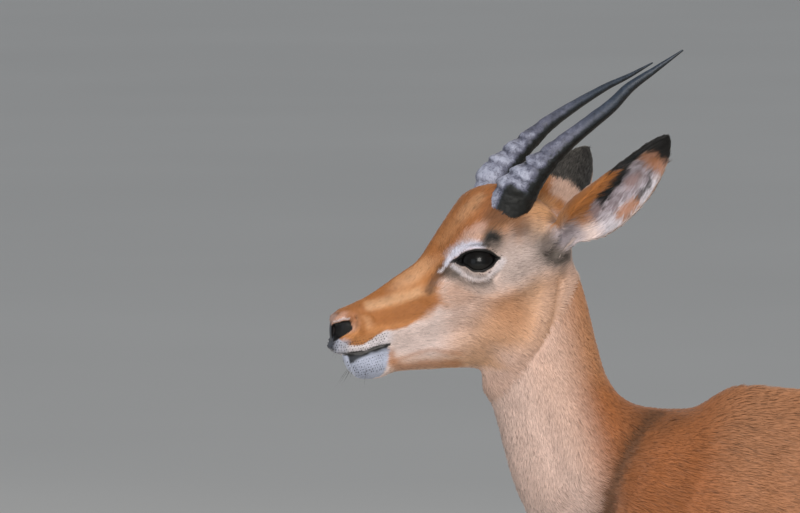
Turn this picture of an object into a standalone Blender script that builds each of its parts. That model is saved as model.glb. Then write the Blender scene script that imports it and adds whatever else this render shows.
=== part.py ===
"""A young impala ram, life-size, standing still with its head raised.

The animal faces -X, its left side is at -Y and the floor is z = 0. The body is drawn in side view as
rings, each given by its lowest and its highest point and its half width. The rings are lofted, the
lofts are fused into one skin, and thin cuts part that skin into the animal's named parts.
Units: metres.
"""

import math
from typing import NamedTuple

import bmesh
import bpy
import numpy as np
from mathutils import Matrix, Vector

# Driving dimensions. The drawing's x is measured from the withers, front negative.
MIDDLE = 0.1555  # the drawing's x of the middle of the whole animal's length
GAP = 0.0003  # clearance between neighbouring solids
FUSE_VOXEL = 0.004  # cell in which the lofts are fused
BODY_TRIANGLES = 4150
CORONET = 0.040  # height of a hoof's top edge at the toe
HEEL = 0.022  # height of a hoof's top edge at the heel
CLAW_LENGTH = 0.054
CLAW_WIDTH = 0.0195
CLAW_TOE_TAPER = 0.45  # how much of its width a claw loses towards its toe
CLAW_TOP_SHARE = 0.93  # its width at the coronet over its width at the sole
CLAW_SLOPE = 0.022  # how far the toe's wall leans back between sole and coronet
CLAW_HEEL_SLOPE = 0.0015
CLEFT = 0.003  # gap between the two claws of a foot
FOOT_Y = 0.066  # half the distance between the feet of a pair
EYEBALL = 0.0180  # radius
EYE_CENTRE = (-0.2815, 0.0345, 0.9800)
HORN_RIDGE = 0.0018  # how far the lowest of a horn's rings stand out
HORN_FLATNESS = 0.9  # a horn's width across over its depth from front to rear
HORN_RINGED = 0.55  # how much of a horn has rings, from its root
EAR_THICKNESS = 0.0040
EAR_HALF_WIDTH = 0.0298
EAR_TUBE = 0.0135  # half width of the rolled root
EAR_RIM = 0.0012  # least half width, at the tip
EAR_BURIED = -0.12  # where the leaf starts, inside the head, as a share of its length

# How far each foot is set forward (-) or back (+) of its own shoulder or hip.
SWING = {"left_fore": -0.022, "right_fore": 0.030, "left_hind": 0.040, "right_hind": -0.045}
HIP_HEIGHT = {"fore": 0.56, "hind": 0.62}  # where a leg starts to swing from
TOE = {"fore": -0.1130, "hind": 0.5810}  # the toes' x before the swing
ELBOW, STIFLE, KNEE, HOCK = 0.49, 0.545, 0.300, 0.325  # heights at which the legs are divided
SHOULDER_X, LOIN_X = 0.14, 0.40  # where the trunk is divided
BEHIND_JAW = ((-0.256, 0.846), (-0.164, 0.975))  # x and z of the line between head and neck
NECK_BASE = ((-0.225, 0.715), (-0.087, 0.823))  # x and z of the line between neck and trunk


class Ring(NamedTuple):
    """A cross-section: its low and high point in side view, half width and form.

    wide is the place of the widest level, from 0 at the low point to 1 at the high one; peak and keel
    narrow the section towards its high and low points; side is the y of its middle.
    """

    low_x: float
    low_z: float
    high_x: float
    high_z: float
    half: float
    wide: float = 0.5
    peak: float = 0.0
    keel: float = 0.0
    side: float = 0.0


TRUNK = (
    Ring(-0.202, 0.672, -0.150, 0.735, 0.030),
    Ring(-0.190, 0.618, -0.120, 0.775, 0.062, 0.45, 0.1, 0.1),
    Ring(-0.158, 0.564, -0.085, 0.804, 0.086, 0.42, 0.3, 0.1),
    Ring(-0.108, 0.525, -0.045, 0.829, 0.102, 0.40, 0.45, 0.1),
    Ring(-0.040, 0.504, 0.000, 0.849, 0.110, 0.40, 0.50, 0.1),
    Ring(0.030, 0.498, 0.055, 0.844, 0.115, 0.42, 0.40, 0.1),
    Ring(0.110, 0.499, 0.120, 0.837, 0.119, 0.45, 0.25, 0.0),
    Ring(0.195, 0.507, 0.195, 0.834, 0.122, 0.46, 0.15, 0.0),
    Ring(0.275, 0.521, 0.275, 0.837, 0.121, 0.47, 0.10, 0.0),
    Ring(0.350, 0.541, 0.350, 0.843, 0.114, 0.48, 0.10, 0.1),
    Ring(0.420, 0.568, 0.420, 0.847, 0.105, 0.52, 0.05, 0.2),
    Ring(0.490, 0.595, 0.495, 0.844, 0.101, 0.56, 0.05, 0.2),
    Ring(0.565, 0.618, 0.580, 0.831, 0.093, 0.58, 0.10, 0.1),
    Ring(0.625, 0.640, 0.648, 0.808, 0.073, 0.58, 0.15, 0.0),
    Ring(0.667, 0.672, 0.688, 0.780, 0.045, 0.55),
    Ring(0.688, 0.705, 0.702, 0.753, 0.018),
)

NECK = (
    Ring(-0.240, 0.945, -0.187, 0.985, 0.020),
    Ring(-0.246, 0.905, -0.173, 0.970, 0.036),
    Ring(-0.270, 0.872, -0.162, 0.938, 0.041, 0.50),
    Ring(-0.2700, 0.8520, -0.1525, 0.900, 0.0425, 0.52, 0.1, 0.1),
    Ring(-0.2590, 0.8290, -0.1400, 0.860, 0.0445, 0.52, 0.1, 0.1),
    Ring(-0.2500, 0.7960, -0.1100, 0.831, 0.0495, 0.50, 0.1, 0.1),
    Ring(-0.2390, 0.7560, -0.0600, 0.825, 0.0590, 0.46, 0.25, 0.1),
    Ring(-0.2200, 0.7120, -0.0150, 0.827, 0.0730, 0.44, 0.3, 0.1),
    Ring(-0.2040, 0.6650, 0.0200, 0.800, 0.0820, 0.42, 0.3, 0.1),
    Ring(-0.1700, 0.6200, 0.0500, 0.740, 0.0700, 0.45),
    Ring(-0.1000, 0.6300, 0.0500, 0.700, 0.0300, 0.45),
)

FACE = (
    Ring(-0.4265, 0.9000, -0.4275, 0.9190, 0.010),
    Ring(-0.4235, 0.8930, -0.4215, 0.9300, 0.0190, 0.50, -0.1, 0.0),
    Ring(-0.4110, 0.8890, -0.4065, 0.9370, 0.0230, 0.48, 0.1, 0.0),
    Ring(-0.3920, 0.8880, -0.3860, 0.9470, 0.0245, 0.42, 0.3, 0.0),
    Ring(-0.3670, 0.8880, -0.3600, 0.9650, 0.0255, 0.38, 0.4, 0.0),
    Ring(-0.3400, 0.8880, -0.3370, 0.9810, 0.0275, 0.40, 0.45, 0.0),
    Ring(-0.3170, 0.8880, -0.3180, 1.0070, 0.0335, 0.55, 0.35, 0.1),
    Ring(-0.2960, 0.8900, -0.3020, 1.0290, 0.0415, 0.64, 0.2, 0.15),
    Ring(-0.2730, 0.8950, -0.2850, 1.0480, 0.0470, 0.60, -0.05, 0.15),
    Ring(-0.2480, 0.9000, -0.2590, 1.0560, 0.0470, 0.58, -0.20, 0.1),
    Ring(-0.2260, 0.9120, -0.2320, 1.0510, 0.0430, 0.58, -0.20, 0.1),
    Ring(-0.2060, 0.9320, -0.2070, 1.0360, 0.0400, 0.58, -0.10, 0.1),
    Ring(-0.1880, 0.9550, -0.1870, 1.0120, 0.0290, 0.50),
    Ring(-0.1780, 0.9700, -0.1780, 0.9920, 0.0120),
)

JAW = (
    Ring(-0.4130, 0.8780, -0.4140, 0.8890, 0.0080),
    Ring(-0.4060, 0.8670, -0.4080, 0.8920, 0.0140),
    Ring(-0.3930, 0.8610, -0.3910, 0.8950, 0.0165),
    Ring(-0.3780, 0.8610, -0.3730, 0.8970, 0.0165),
    Ring(-0.3580, 0.8680, -0.3530, 0.9000, 0.0175),
    Ring(-0.3270, 0.8690, -0.3230, 0.9100, 0.0210, 0.55, 0.0, 0.1),
    Ring(-0.2970, 0.8700, -0.2930, 0.9250, 0.0265, 0.60, 0.0, 0.2),
    Ring(-0.2700, 0.8690, -0.2630, 0.9450, 0.0320, 0.60, 0.0, 0.25),
    Ring(-0.2470, 0.8740, -0.2370, 0.9550, 0.0345, 0.60, 0.0, 0.2),
    Ring(-0.2280, 0.8900, -0.2170, 0.9520, 0.0300),
    Ring(-0.2150, 0.9120, -0.2080, 0.9400, 0.0150),
)

# The legs run down, so a ring's low point is its front and its high point is its rear.
FORE_LEG = (
    Ring(-0.118, 0.640, -0.020, 0.680, 0.020, side=0.070),
    Ring(-0.132, 0.605, 0.010, 0.620, 0.032, side=0.075),
    Ring(-0.122, 0.552, 0.012, 0.560, 0.035, side=0.077),
    Ring(-0.100, 0.505, 0.006, 0.515, 0.032, side=0.077),
    Ring(-0.084, 0.460, -0.014, 0.465, 0.0255, side=0.075),
    Ring(-0.079, 0.410, -0.025, 0.412, 0.0205, side=0.073),
    Ring(-0.0765, 0.360, -0.0345, 0.360, 0.0180, side=0.071),
    Ring(-0.0770, 0.318, -0.0370, 0.318, 0.0188, side=0.070),
    Ring(-0.0775, 0.290, -0.0365, 0.290, 0.0205, side=0.070),
    Ring(-0.0725, 0.264, -0.0385, 0.264, 0.0178, side=0.069),
    Ring(-0.0660, 0.230, -0.0388, 0.230, 0.0138, side=0.068),
    Ring(-0.0630, 0.170, -0.0375, 0.170, 0.0128, side=0.067),
    Ring(-0.0625, 0.130, -0.0345, 0.130, 0.0135, side=0.066),
    Ring(-0.0650, 0.100, -0.0290, 0.098, 0.0168, side=FOOT_Y),
    Ring(-0.0720, 0.074, -0.0410, 0.066, 0.0160, side=FOOT_Y),
    Ring(-0.0880, 0.046, -0.0440, 0.034, 0.0190, side=FOOT_Y),
    Ring(-0.0950, 0.028, -0.0460, 0.018, 0.0190, side=FOOT_Y),
    Ring(-0.0880, 0.014, -0.0540, 0.010, 0.0100, side=FOOT_Y),
)

HIND_LEG = (
    Ring(0.4680, 0.7700, 0.6680, 0.7750, 0.030, side=0.055),
    Ring(0.4430, 0.7300, 0.6900, 0.7350, 0.047, side=0.062),
    Ring(0.4400, 0.6650, 0.6860, 0.6750, 0.050, side=0.067),
    Ring(0.4380, 0.6000, 0.6580, 0.6180, 0.046, side=0.070),
    Ring(0.4600, 0.5350, 0.6300, 0.5650, 0.038, side=0.070),
    Ring(0.5130, 0.4700, 0.6220, 0.5200, 0.0305, side=0.068),
    Ring(0.5600, 0.4050, 0.6400, 0.4600, 0.0235, side=0.066),
    Ring(0.6000, 0.3520, 0.6700, 0.3960, 0.0195, side=0.064),
    Ring(0.6300, 0.3160, 0.6890, 0.3420, 0.0200, side=0.063),
    Ring(0.6400, 0.2800, 0.6825, 0.2860, 0.0180, side=0.063),
    Ring(0.6410, 0.2350, 0.6740, 0.2370, 0.0150, side=0.063),
    Ring(0.6385, 0.1700, 0.6670, 0.1700, 0.0138, side=0.064),
    Ring(0.6335, 0.1250, 0.6665, 0.1220, 0.0145, side=0.065),
    Ring(0.6290, 0.0980, 0.6655, 0.0940, 0.0172, side=FOOT_Y),
    Ring(0.6210, 0.0720, 0.6520, 0.0640, 0.0162, side=FOOT_Y),
    Ring(0.6050, 0.0460, 0.6490, 0.0340, 0.0190, side=FOOT_Y),
    Ring(0.5980, 0.0280, 0.6470, 0.0180, 0.0190, side=FOOT_Y),
    Ring(0.6050, 0.0140, 0.6390, 0.0100, 0.0100, side=FOOT_Y),
)

TAIL = (
    Ring(0.650, 0.782, 0.655, 0.812, 0.012),
    Ring(0.678, 0.764, 0.698, 0.801, 0.018),
    Ring(0.693, 0.736, 0.726, 0.760, 0.022),
    Ring(0.698, 0.698, 0.738, 0.705, 0.025),
    Ring(0.697, 0.645, 0.740, 0.645, 0.027),
    Ring(0.695, 0.588, 0.733, 0.588, 0.025),
    Ring(0.697, 0.540, 0.723, 0.540, 0.016),
    Ring(0.703, 0.512, 0.712, 0.512, 0.005),
)


class Blob(NamedTuple):
    """An ellipsoid region, mirrored to both sides, and how strongly it is worked there."""

    x: float
    y: float
    z: float
    radius_x: float
    radius_y: float
    radius_z: float
    amount: float


# Where the lofts meet and the joint between them is rubbed smooth.
JUNCTIONS = (
    Blob(-0.080, 0.080, 0.560, 0.110, 0.090, 0.110, 1.0),
    Blob(-0.090, 0.050, 0.760, 0.190, 0.130, 0.130, 1.0),
    Blob(0.528, 0.060, 0.680, 0.200, 0.130, 0.160, 1.0),
    Blob(-0.225, 0.035, 0.910, 0.060, 0.050, 0.075, 0.8),
    Blob(-0.360, 0.020, 0.893, 0.060, 0.030, 0.016, 0.5),
)

# Muscles and bone under the skin, pushed out sideways by the amount.
SWELLS = (
    Blob(-0.262, 0.036, 0.918, 0.040, 0.030, 0.042, 0.0040),
    Blob(-0.286, 0.044, 1.006, 0.034, 0.030, 0.016, 0.0060),
    Blob(-0.255, 0.048, 0.978, 0.040, 0.030, 0.024, 0.0030),
    Blob(-0.335, 0.028, 0.930, 0.050, 0.025, 0.022, -0.0025),
    Blob(-0.412, 0.020, 0.918, 0.018, 0.016, 0.016, 0.0020),
    Blob(-0.110, 0.095, 0.655, 0.055, 0.060, 0.075, 0.0080),
    Blob(-0.020, 0.100, 0.720, 0.060, 0.060, 0.100, 0.0050),
    Blob(0.548, 0.095, 0.690, 0.110, 0.060, 0.100, 0.0080),
)

HORN_PATHS = {
    # x, distance from the midline, z, radius: a ring stands at every row of the lower half
    "left": (
        (-0.2540, 0.0225, 1.0140, 0.0195),
        (-0.2420, 0.0280, 1.0449, 0.0190),
        (-0.2269, 0.0315, 1.0654, 0.0155),
        (-0.2092, 0.0350, 1.0835, 0.0115),
        (-0.1886, 0.0390, 1.1025, 0.0092),
        (-0.1690, 0.0430, 1.1185, 0.0082),
        (-0.1495, 0.0475, 1.1345, 0.0072),
        (-0.1300, 0.0520, 1.1543, 0.0056),
        (-0.1055, 0.0570, 1.1716, 0.0034),
        (-0.0778, 0.0615, 1.1910, 0.0009),
    ),
    "right": (
        (-0.2640, 0.0225, 1.0220, 0.0190),
        (-0.2486, 0.0280, 1.0578, 0.0175),
        (-0.2308, 0.0315, 1.0787, 0.0128),
        (-0.2115, 0.0350, 1.0966, 0.0098),
        (-0.1911, 0.0390, 1.1126, 0.0078),
        (-0.1697, 0.0430, 1.1257, 0.0063),
        (-0.1481, 0.0475, 1.1375, 0.0050),
        (-0.1265, 0.0520, 1.1482, 0.0038),
        (-0.1040, 0.0560, 1.1575, 0.0026),
        (-0.0775, 0.0600, 1.1705, 0.0008),
    ),
}

EAR_ROOT = Vector((-0.1960, 0.0400, 1.0030))
EAR_TIPS = {"left": Vector((-0.1080, 0.1200, 1.1100)), "right": Vector((-0.1275, 0.1300, 1.0800))}
EAR_OPENINGS = {"left": Vector((0.10, 0.93, -0.62)), "right": Vector((-0.60, 0.75, -0.32))}

FINISHES = {
    # sRGB colour, roughness
    "coat_red_brown": ((0.60, 0.38, 0.22), 0.75),
    "coat_fawn": ((0.74, 0.56, 0.40), 0.75),
    "horn_slate": ((0.25, 0.27, 0.31), 0.45),
    "eye_dark": ((0.03, 0.02, 0.02), 0.08),
    "hoof_black": ((0.08, 0.07, 0.07), 0.40),
}


def smooth_through(values, places):
    """Reads rows of values, given at 0, 1, 2 and so on, along a smooth curve that never overshoots."""
    steps = np.diff(values, axis=0)
    slopes = np.empty_like(values)
    slopes[0], slopes[-1] = steps[0], steps[-1]
    same_way = steps[:-1] * steps[1:] > 0
    total = np.where(same_way, steps[:-1] + steps[1:], 1.0)
    slopes[1:-1] = np.where(same_way, 2 * steps[:-1] * steps[1:] / total, 0.0)
    cell = np.clip(places.astype(int), 0, len(values) - 2)
    t = (places - cell)[:, None]
    rise = t * t * (3 - 2 * t)
    return (
        values[cell] * (1 - rise)
        + values[cell + 1] * rise
        + slopes[cell] * t * (1 - t) ** 2
        - slopes[cell + 1] * t * t * (1 - t)
    )


def loft(rings, around=32, rows=5):
    """A closed body through the rings, bent from the grid of a sphere whose poles are its ends."""
    bm = bmesh.new()
    spans = len(rings) - 1
    bmesh.ops.create_uvsphere(bm, u_segments=around, v_segments=rows * spans, radius=1.0)
    grid = np.array([vert.co for vert in bm.verts])
    places = np.arccos(np.clip(grid[:, 2], -1.0, 1.0)) / math.pi * spans
    turn = np.arctan2(grid[:, 1], grid[:, 0])
    off_pole = np.hypot(grid[:, 0], grid[:, 1]) > 1e-6
    ring = smooth_through(np.array(rings), places).T
    low_x, low_z, high_x, high_z, half, wide, peak, keel, side = ring
    rise = np.sin(turn) * off_pole
    across = np.cos(turn) * off_pole
    level = wide + np.where(rise > 0, (1 - wide) * rise, wide * rise)
    pinch = np.where(rise > 0, peak, keel)
    x = low_x + (high_x - low_x) * level
    z = low_z + (high_z - low_z) * level
    y = side + half * across * (1 - pinch * rise**2)
    for vert, place in zip(bm.verts, zip(x, y, z)):
        vert.co = place
    bm.normal_update()
    bmesh.ops.recalc_face_normals(bm, faces=bm.faces)
    return bm


def swung(rings, swing, hip, sign):
    """The rings of one leg, leaning from its hip height so that the foot lies `swing` off."""
    for ring in rings:
        low = swing * min(max((hip - ring.low_z) / hip, 0.0), 1.0)
        high = swing * min(max((hip - ring.high_z) / hip, 0.0), 1.0)
        yield ring._replace(low_x=ring.low_x + low, high_x=ring.high_x + high, side=sign * ring.side)


def reach(points, blob):
    """How far inside a blob each point lies: 1 at its middle, falling to 0 at its edge."""
    mirrored = points.copy()
    mirrored[:, 1] = np.abs(points[:, 1])
    away = (mirrored - blob[:3]) / blob[3:6]
    return np.clip(1 - (away**2).sum(axis=1), 0, 1) ** 2


def new_object(name, bm, collection):
    """Puts a bmesh into a named object."""
    mesh = bpy.data.meshes.new(name)
    bm.to_mesh(mesh)
    bm.free()
    obj = bpy.data.objects.new(name, mesh)
    collection.objects.link(obj)
    return obj


def apply_modifiers(obj):
    """Replaces the object's mesh by the one that its modifiers give."""
    graph = bpy.context.evaluated_depsgraph_get()
    mesh = bpy.data.meshes.new_from_object(obj.evaluated_get(graph))
    obj.modifiers.clear()
    obj.data = mesh


def add_group(obj, name, weights):
    """Stores one weight for each vertex in a vertex group."""
    group = obj.vertex_groups.new(name=name)
    for index, weight in enumerate(weights):
        if weight > 0.01:
            group.add([index], float(weight), "REPLACE")


def fused_body(helpers):
    """The whole flesh of the animal without ears and tail, as one closed skin."""
    whole = bmesh.new()
    lofts = [loft(TRUNK), loft(NECK), loft(FACE), loft(JAW)]
    for sign, side in ((-1, "left"), (1, "right")):
        for leg, rings in (("fore", FORE_LEG), ("hind", HIND_LEG)):
            lofts.append(loft(list(swung(rings, SWING[f"{side}_{leg}"], HIP_HEIGHT[leg], sign)), 24))
    for piece in lofts:
        mesh = bpy.data.meshes.new("loft")
        piece.to_mesh(mesh)
        piece.free()
        whole.from_mesh(mesh)
        bpy.data.meshes.remove(mesh)
    body = new_object("body", whole, helpers)
    fuse = body.modifiers.new("fuse", "REMESH")
    fuse.mode = "VOXEL"
    fuse.voxel_size = FUSE_VOXEL
    apply_modifiers(body)

    points = np.array([vert.co for vert in body.data.vertices])
    junction = np.max([reach(points, blob) * blob.amount for blob in JUNCTIONS], axis=0)
    add_group(body, "junction", np.sqrt(junction))
    join = body.modifiers.new("join", "SMOOTH")
    join.vertex_group = "junction"
    join.factor = 0.5
    join.iterations = 60
    even = body.modifiers.new("even", "SMOOTH")
    even.factor = 0.5
    even.iterations = 3
    apply_modifiers(body)

    for vert in body.data.vertices:
        points[vert.index] = vert.co
    for blob in SWELLS:
        points[:, 1] += np.sign(points[:, 1]) * reach(points, blob) * blob.amount
    for vert, place in zip(body.data.vertices, points):
        vert.co = place
    thin = body.modifiers.new("thin", "DECIMATE")
    thin.ratio = BODY_TRIANGLES / (2 * len(body.data.polygons))
    apply_modifiers(body)
    return body


def cut_part(name, body, planes, collection):
    """The part of the body behind every plane, each given by a point and its outward normal."""
    bm = bmesh.new()
    bm.from_mesh(body.data)
    for point, normal in planes:
        away = Vector(normal).normalized()
        everything = bm.verts[:] + bm.edges[:] + bm.faces[:]
        bmesh.ops.bisect_plane(
            bm,
            geom=everything,
            dist=1e-6,
            plane_co=Vector(point) - away * GAP / 2,
            plane_no=away,
            clear_outer=True,
        )
        rim = [edge for edge in bm.edges if edge.is_boundary]
        bmesh.ops.holes_fill(bm, edges=rim, sides=0)
    bmesh.ops.triangulate(bm, faces=bm.faces[:])
    return new_object(name, bm, collection)


def flip(plane):
    """The same plane seen from its other side."""
    point, normal = plane
    return point, tuple(-value for value in normal)


def level_plane(height):
    return (0.0, 0.0, height), (0.0, 0.0, 1.0)


def upright_plane(x):
    return (x, 0.0, 0.0), (1.0, 0.0, 0.0)


def side_view_plane(first, second):
    """The plane through two points of the side view, facing its upper or front side."""
    run = Vector((second[0] - first[0], 0.0, second[1] - first[1]))
    normal = run.cross(Vector((0.0, 1.0, 0.0))).normalized()
    return (first[0], 0.0, first[1]), tuple(normal)


def part_body(body, collection):
    """Cuts the fused body into head, neck, trunk and legs."""
    behind_jaw = side_view_plane(*BEHIND_JAW)
    if behind_jaw[1][0] > 0:
        behind_jaw = flip(behind_jaw)
    neck_base = side_view_plane(*NECK_BASE)
    if neck_base[1][2] < 0:
        neck_base = flip(neck_base)
    midline = ((0.0, 0.0, 0.0), (0.0, 1.0, 0.0))
    shoulder, loin = upright_plane(SHOULDER_X), upright_plane(LOIN_X)
    elbow, stifle = level_plane(ELBOW), level_plane(STIFLE)
    knee, hock = level_plane(KNEE), level_plane(HOCK)

    cut_part("head", body, [flip(behind_jaw)], collection)
    cut_part("neck", body, [behind_jaw, flip(neck_base)], collection)
    cut_part("forequarters", body, [neck_base, shoulder, flip(elbow)], collection)
    cut_part("barrel", body, [flip(shoulder), loin], collection)
    cut_part("hindquarters", body, [flip(loin), flip(stifle)], collection)
    for side, half in (("left", midline), ("right", flip(midline))):
        fore = [shoulder, neck_base, half]
        hind = [flip(loin), half]
        for leg, ends in (("fore", fore), ("hind", hind)):
            top, joint = (elbow, knee) if leg == "fore" else (stifle, hock)
            ankle = coronet_plane(leg, side)
            name = f"{side}_{leg}"
            cut_part(f"{name}_leg_upper", body, [*ends, top, flip(joint)], collection)
            cut_part(f"{name}_leg_lower", body, [*ends, joint, flip(ankle)], collection)


def claw_toe(leg, side):
    """The x of a foot's toe."""
    return TOE[leg] + SWING[f"{side}_{leg}"]


def coronet_plane(leg, side):
    """The sloping plane between a pastern and its claws."""
    toe = claw_toe(leg, side)
    front, rear = (toe, CORONET), (toe + CLAW_LENGTH, HEEL)
    plane = side_view_plane(front, rear)
    return plane if plane[1][2] > 0 else flip(plane)


def claw(name, toe, inner, outer_sign, collection):
    """One claw: flat sole, a toe that curves in to the middle and walls that slope up to the coronet."""
    bm = bmesh.new()
    bmesh.ops.create_cone(bm, segments=16, radius1=1.0, radius2=1.0, depth=2.0, cap_ends=True)
    for vert in bm.verts:
        along, across, upper = vert.co.x, vert.co.y, vert.co.z > 0
        back = (along + 1) / 2
        full = CLAW_WIDTH * (1 - CLAW_TOE_TAPER * (1 - back) ** 2.2)
        x, z = back * CLAW_LENGTH, 0.0
        if upper:
            x = CLAW_SLOPE + back * (CLAW_LENGTH - CLAW_SLOPE - CLAW_HEEL_SLOPE)
            full *= CLAW_TOP_SHARE
            z = CORONET + (HEEL - CORONET) * x / CLAW_LENGTH - GAP
        y = inner + (across + 1) / 2 * full
        vert.co = (toe + x, y * outer_sign, z)
    bm.normal_update()
    bmesh.ops.recalc_face_normals(bm, faces=bm.faces)
    bmesh.ops.triangulate(bm, faces=bm.faces[:])
    return new_object(name, bm, collection)


def add_claws(collection):
    """Two claws under each foot, on either side of its cleft."""
    for side, sign in (("left", -1), ("right", 1)):
        for leg in ("fore", "hind"):
            toe = claw_toe(leg, side)
            for where, lean in (("outer", 1), ("inner", -1)):
                foot = claw(f"{side}_{leg}_claw_{where}", toe, CLEFT / 2, lean * sign, collection)
                foot.data.transform(Matrix.Translation((0.0, sign * FOOT_Y, 0.0)))


def horn(name, side, sign, collection):
    """A ringed horn: a tube along its path, swollen into rings over its lower part."""
    path = np.array(HORN_PATHS[side])
    spans, rows, around = len(path) - 1, 2, 12
    bm = bmesh.new()
    bmesh.ops.create_uvsphere(bm, u_segments=around, v_segments=rows * spans, radius=1.0)
    grid = np.array([vert.co for vert in bm.verts])
    places = np.arccos(np.clip(grid[:, 2], -1.0, 1.0)) / math.pi * spans
    line = smooth_through(path, places)
    ahead = smooth_through(path, np.minimum(places + 0.01, spans)) - smooth_through(
        path, np.maximum(places - 0.01, 0.0)
    )
    for vert, where, step, place in zip(bm.verts, line, ahead, places):
        share = place / spans
        forward = Vector(step[:3]).normalized()
        across = forward.cross(Vector((0.0, 1.0, 0.0))).normalized()
        other = across.cross(forward)
        off_pole = math.hypot(vert.co.x, vert.co.y) > 1e-6
        ridge = HORN_RIDGE * max(0.0, 1 - share / HORN_RINGED) * math.cos(2 * math.pi * place)
        radius = (where[3] + ridge) * off_pole
        spin = math.atan2(vert.co.y, vert.co.x)
        place = Vector(where[:3]) + (across * math.cos(spin) + other * HORN_FLATNESS * math.sin(spin)) * radius
        vert.co = (place.x, sign * place.y, place.z)
    bm.normal_update()
    bmesh.ops.recalc_face_normals(bm, faces=bm.faces)
    bmesh.ops.triangulate(bm, faces=bm.faces[:])
    return new_object(name, bm, collection)


def ear(name, side, sign, collection):
    """A cupped leaf, rolled into a tube at its root inside the head and open to the side and rear."""
    bm = bmesh.new()
    bmesh.ops.create_grid(bm, x_segments=11, y_segments=6, size=1.0)
    length = (EAR_TIPS[side] - EAR_ROOT).length
    axis = (EAR_TIPS[side] - EAR_ROOT).normalized()
    opening = EAR_OPENINGS[side]
    opening = (opening - axis * opening.dot(axis)).normalized()
    width = axis.cross(opening).normalized()
    for vert in bm.verts:
        along = EAR_BURIED + (1 - EAR_BURIED) * (vert.co.x + 1) / 2
        outward = max(along, 0.0)
        leaf = math.sin(math.pi * outward**0.86) ** 0.60 if 0 < outward < 1 else 0.0
        half = max(EAR_HALF_WIDTH * leaf, EAR_TUBE * (1 - outward), EAR_RIM)
        roll = math.radians(150 - 118 * outward**0.6)
        radius = half / math.sin(min(roll, math.pi / 2))
        bend = vert.co.y * roll
        droop = 0.006 * math.sin(math.pi * outward**1.4) - 0.004 * (1 - outward)
        out = radius * math.sin(bend) - droop
        deep = radius * (math.cos(roll) - 2 * math.cos(bend) + 1) / 2
        place = EAR_ROOT + axis * (length * along) + width * out + opening * deep
        vert.co = (place.x, sign * place.y, place.z)
    bm.normal_update()
    bmesh.ops.recalc_face_normals(bm, faces=bm.faces)
    obj = new_object(name, bm, collection)
    wall = obj.modifiers.new("wall", "SOLIDIFY")
    wall.thickness = EAR_THICKNESS
    wall.offset = 0.0
    apply_modifiers(obj)
    return obj


def eyeball(name, sign, radius, collection):
    """A plain ball; the lids are part of the head."""
    bm = bmesh.new()
    bmesh.ops.create_uvsphere(bm, u_segments=16, v_segments=8, radius=radius)
    x, y, z = EYE_CENTRE
    bmesh.ops.translate(bm, verts=bm.verts, vec=(x, sign * y, z))
    return new_object(name, bm, collection)


def as_cutter(obj, helpers):
    """Marks a shape as one that only cuts others."""
    obj.hide_render = True
    obj.display_type = "WIRE"
    for home in list(obj.users_collection):
        home.objects.unlink(obj)
    helpers.objects.link(obj)
    return obj


def subtract(obj, cutter):
    """Cuts the cutter's shape out of the object."""
    cut = obj.modifiers.new("cut", "BOOLEAN")
    cut.operation = "DIFFERENCE"
    cut.solver = "EXACT"
    cut.object = cutter
    apply_modifiers(obj)


def keep_largest(obj):
    """Deletes the loose bits that a cut has left beside the piece."""
    bm = bmesh.new()
    bm.from_mesh(obj.data)
    left, islands = set(bm.verts), []
    while left:
        island, front = set(), [left.pop()]
        while front:
            vert = front.pop()
            island.add(vert)
            for edge in vert.link_edges:
                other = edge.other_vert(vert)
                if other in left:
                    left.remove(other)
                    front.append(other)
        islands.append(island)
    biggest = max(islands, key=len)
    bmesh.ops.delete(bm, geom=[vert for vert in bm.verts if vert not in biggest], context="VERTS")
    bm.to_mesh(obj.data)
    bm.free()


def grown_copy(obj, name, helpers):
    """A copy of a shape, bigger by the gap on every side."""
    copy = bpy.data.objects.new(name, obj.data.copy())
    helpers.objects.link(copy)
    grow = copy.modifiers.new("grow", "DISPLACE")
    grow.strength = GAP * 1.3
    grow.mid_level = 0.0
    apply_modifiers(copy)
    return as_cutter(copy, helpers)


def add_head_pieces(body, collection, helpers):
    """Eyes in their sockets, and horns, ears and tail seated on the body."""
    head = bpy.data.objects["head"]
    seat = grown_copy(body, "seat", helpers)
    for side, sign in (("left", -1), ("right", 1)):
        for piece in (horn(f"{side}_horn", side, sign, collection), ear(f"{side}_ear", side, sign, collection)):
            subtract(piece, seat)
            keep_largest(piece)
        eyeball(f"{side}_eye", sign, EYEBALL, collection)
        socket = as_cutter(eyeball(f"{side}_socket", sign, EYEBALL + GAP, helpers), helpers)
        subtract(head, socket)
    tail = new_object("tail", loft(TAIL, 12, 2), collection)
    subtract(tail, seat)
    keep_largest(tail)
    bpy.data.objects.remove(body)


def finish(name):
    """A plain principled material of the named finish."""
    colour, roughness = FINISHES[name]
    material = bpy.data.materials.new(name)
    material.use_nodes = True
    shader = material.node_tree.nodes["Principled BSDF"]
    linear = [((value + 0.055) / 1.055) ** 2.4 for value in colour]
    shader.inputs["Base Color"].default_value = (*linear, 1.0)
    shader.inputs["Roughness"].default_value = roughness
    shader.inputs["Metallic"].default_value = 0.0
    return material


def dress(collection):
    """Gives each part its material and moves the drawing over the origin."""
    kinds = (("claw", "hoof_black"), ("eye", "eye_dark"), ("horn", "horn_slate"), ("leg", "coat_fawn"))
    for obj in collection.objects:
        named = [slot for word, slot in kinds if word in obj.name]
        obj.data.materials.clear()
        obj.data.materials.append(finish(named[0] if named else "coat_red_brown"))
        obj.data.transform(Matrix.Translation((-MIDDLE, 0.0, 0.0)))
        obj.data.shade_smooth()
        obj.data.set_sharp_from_angle(angle=math.radians(50))


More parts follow.
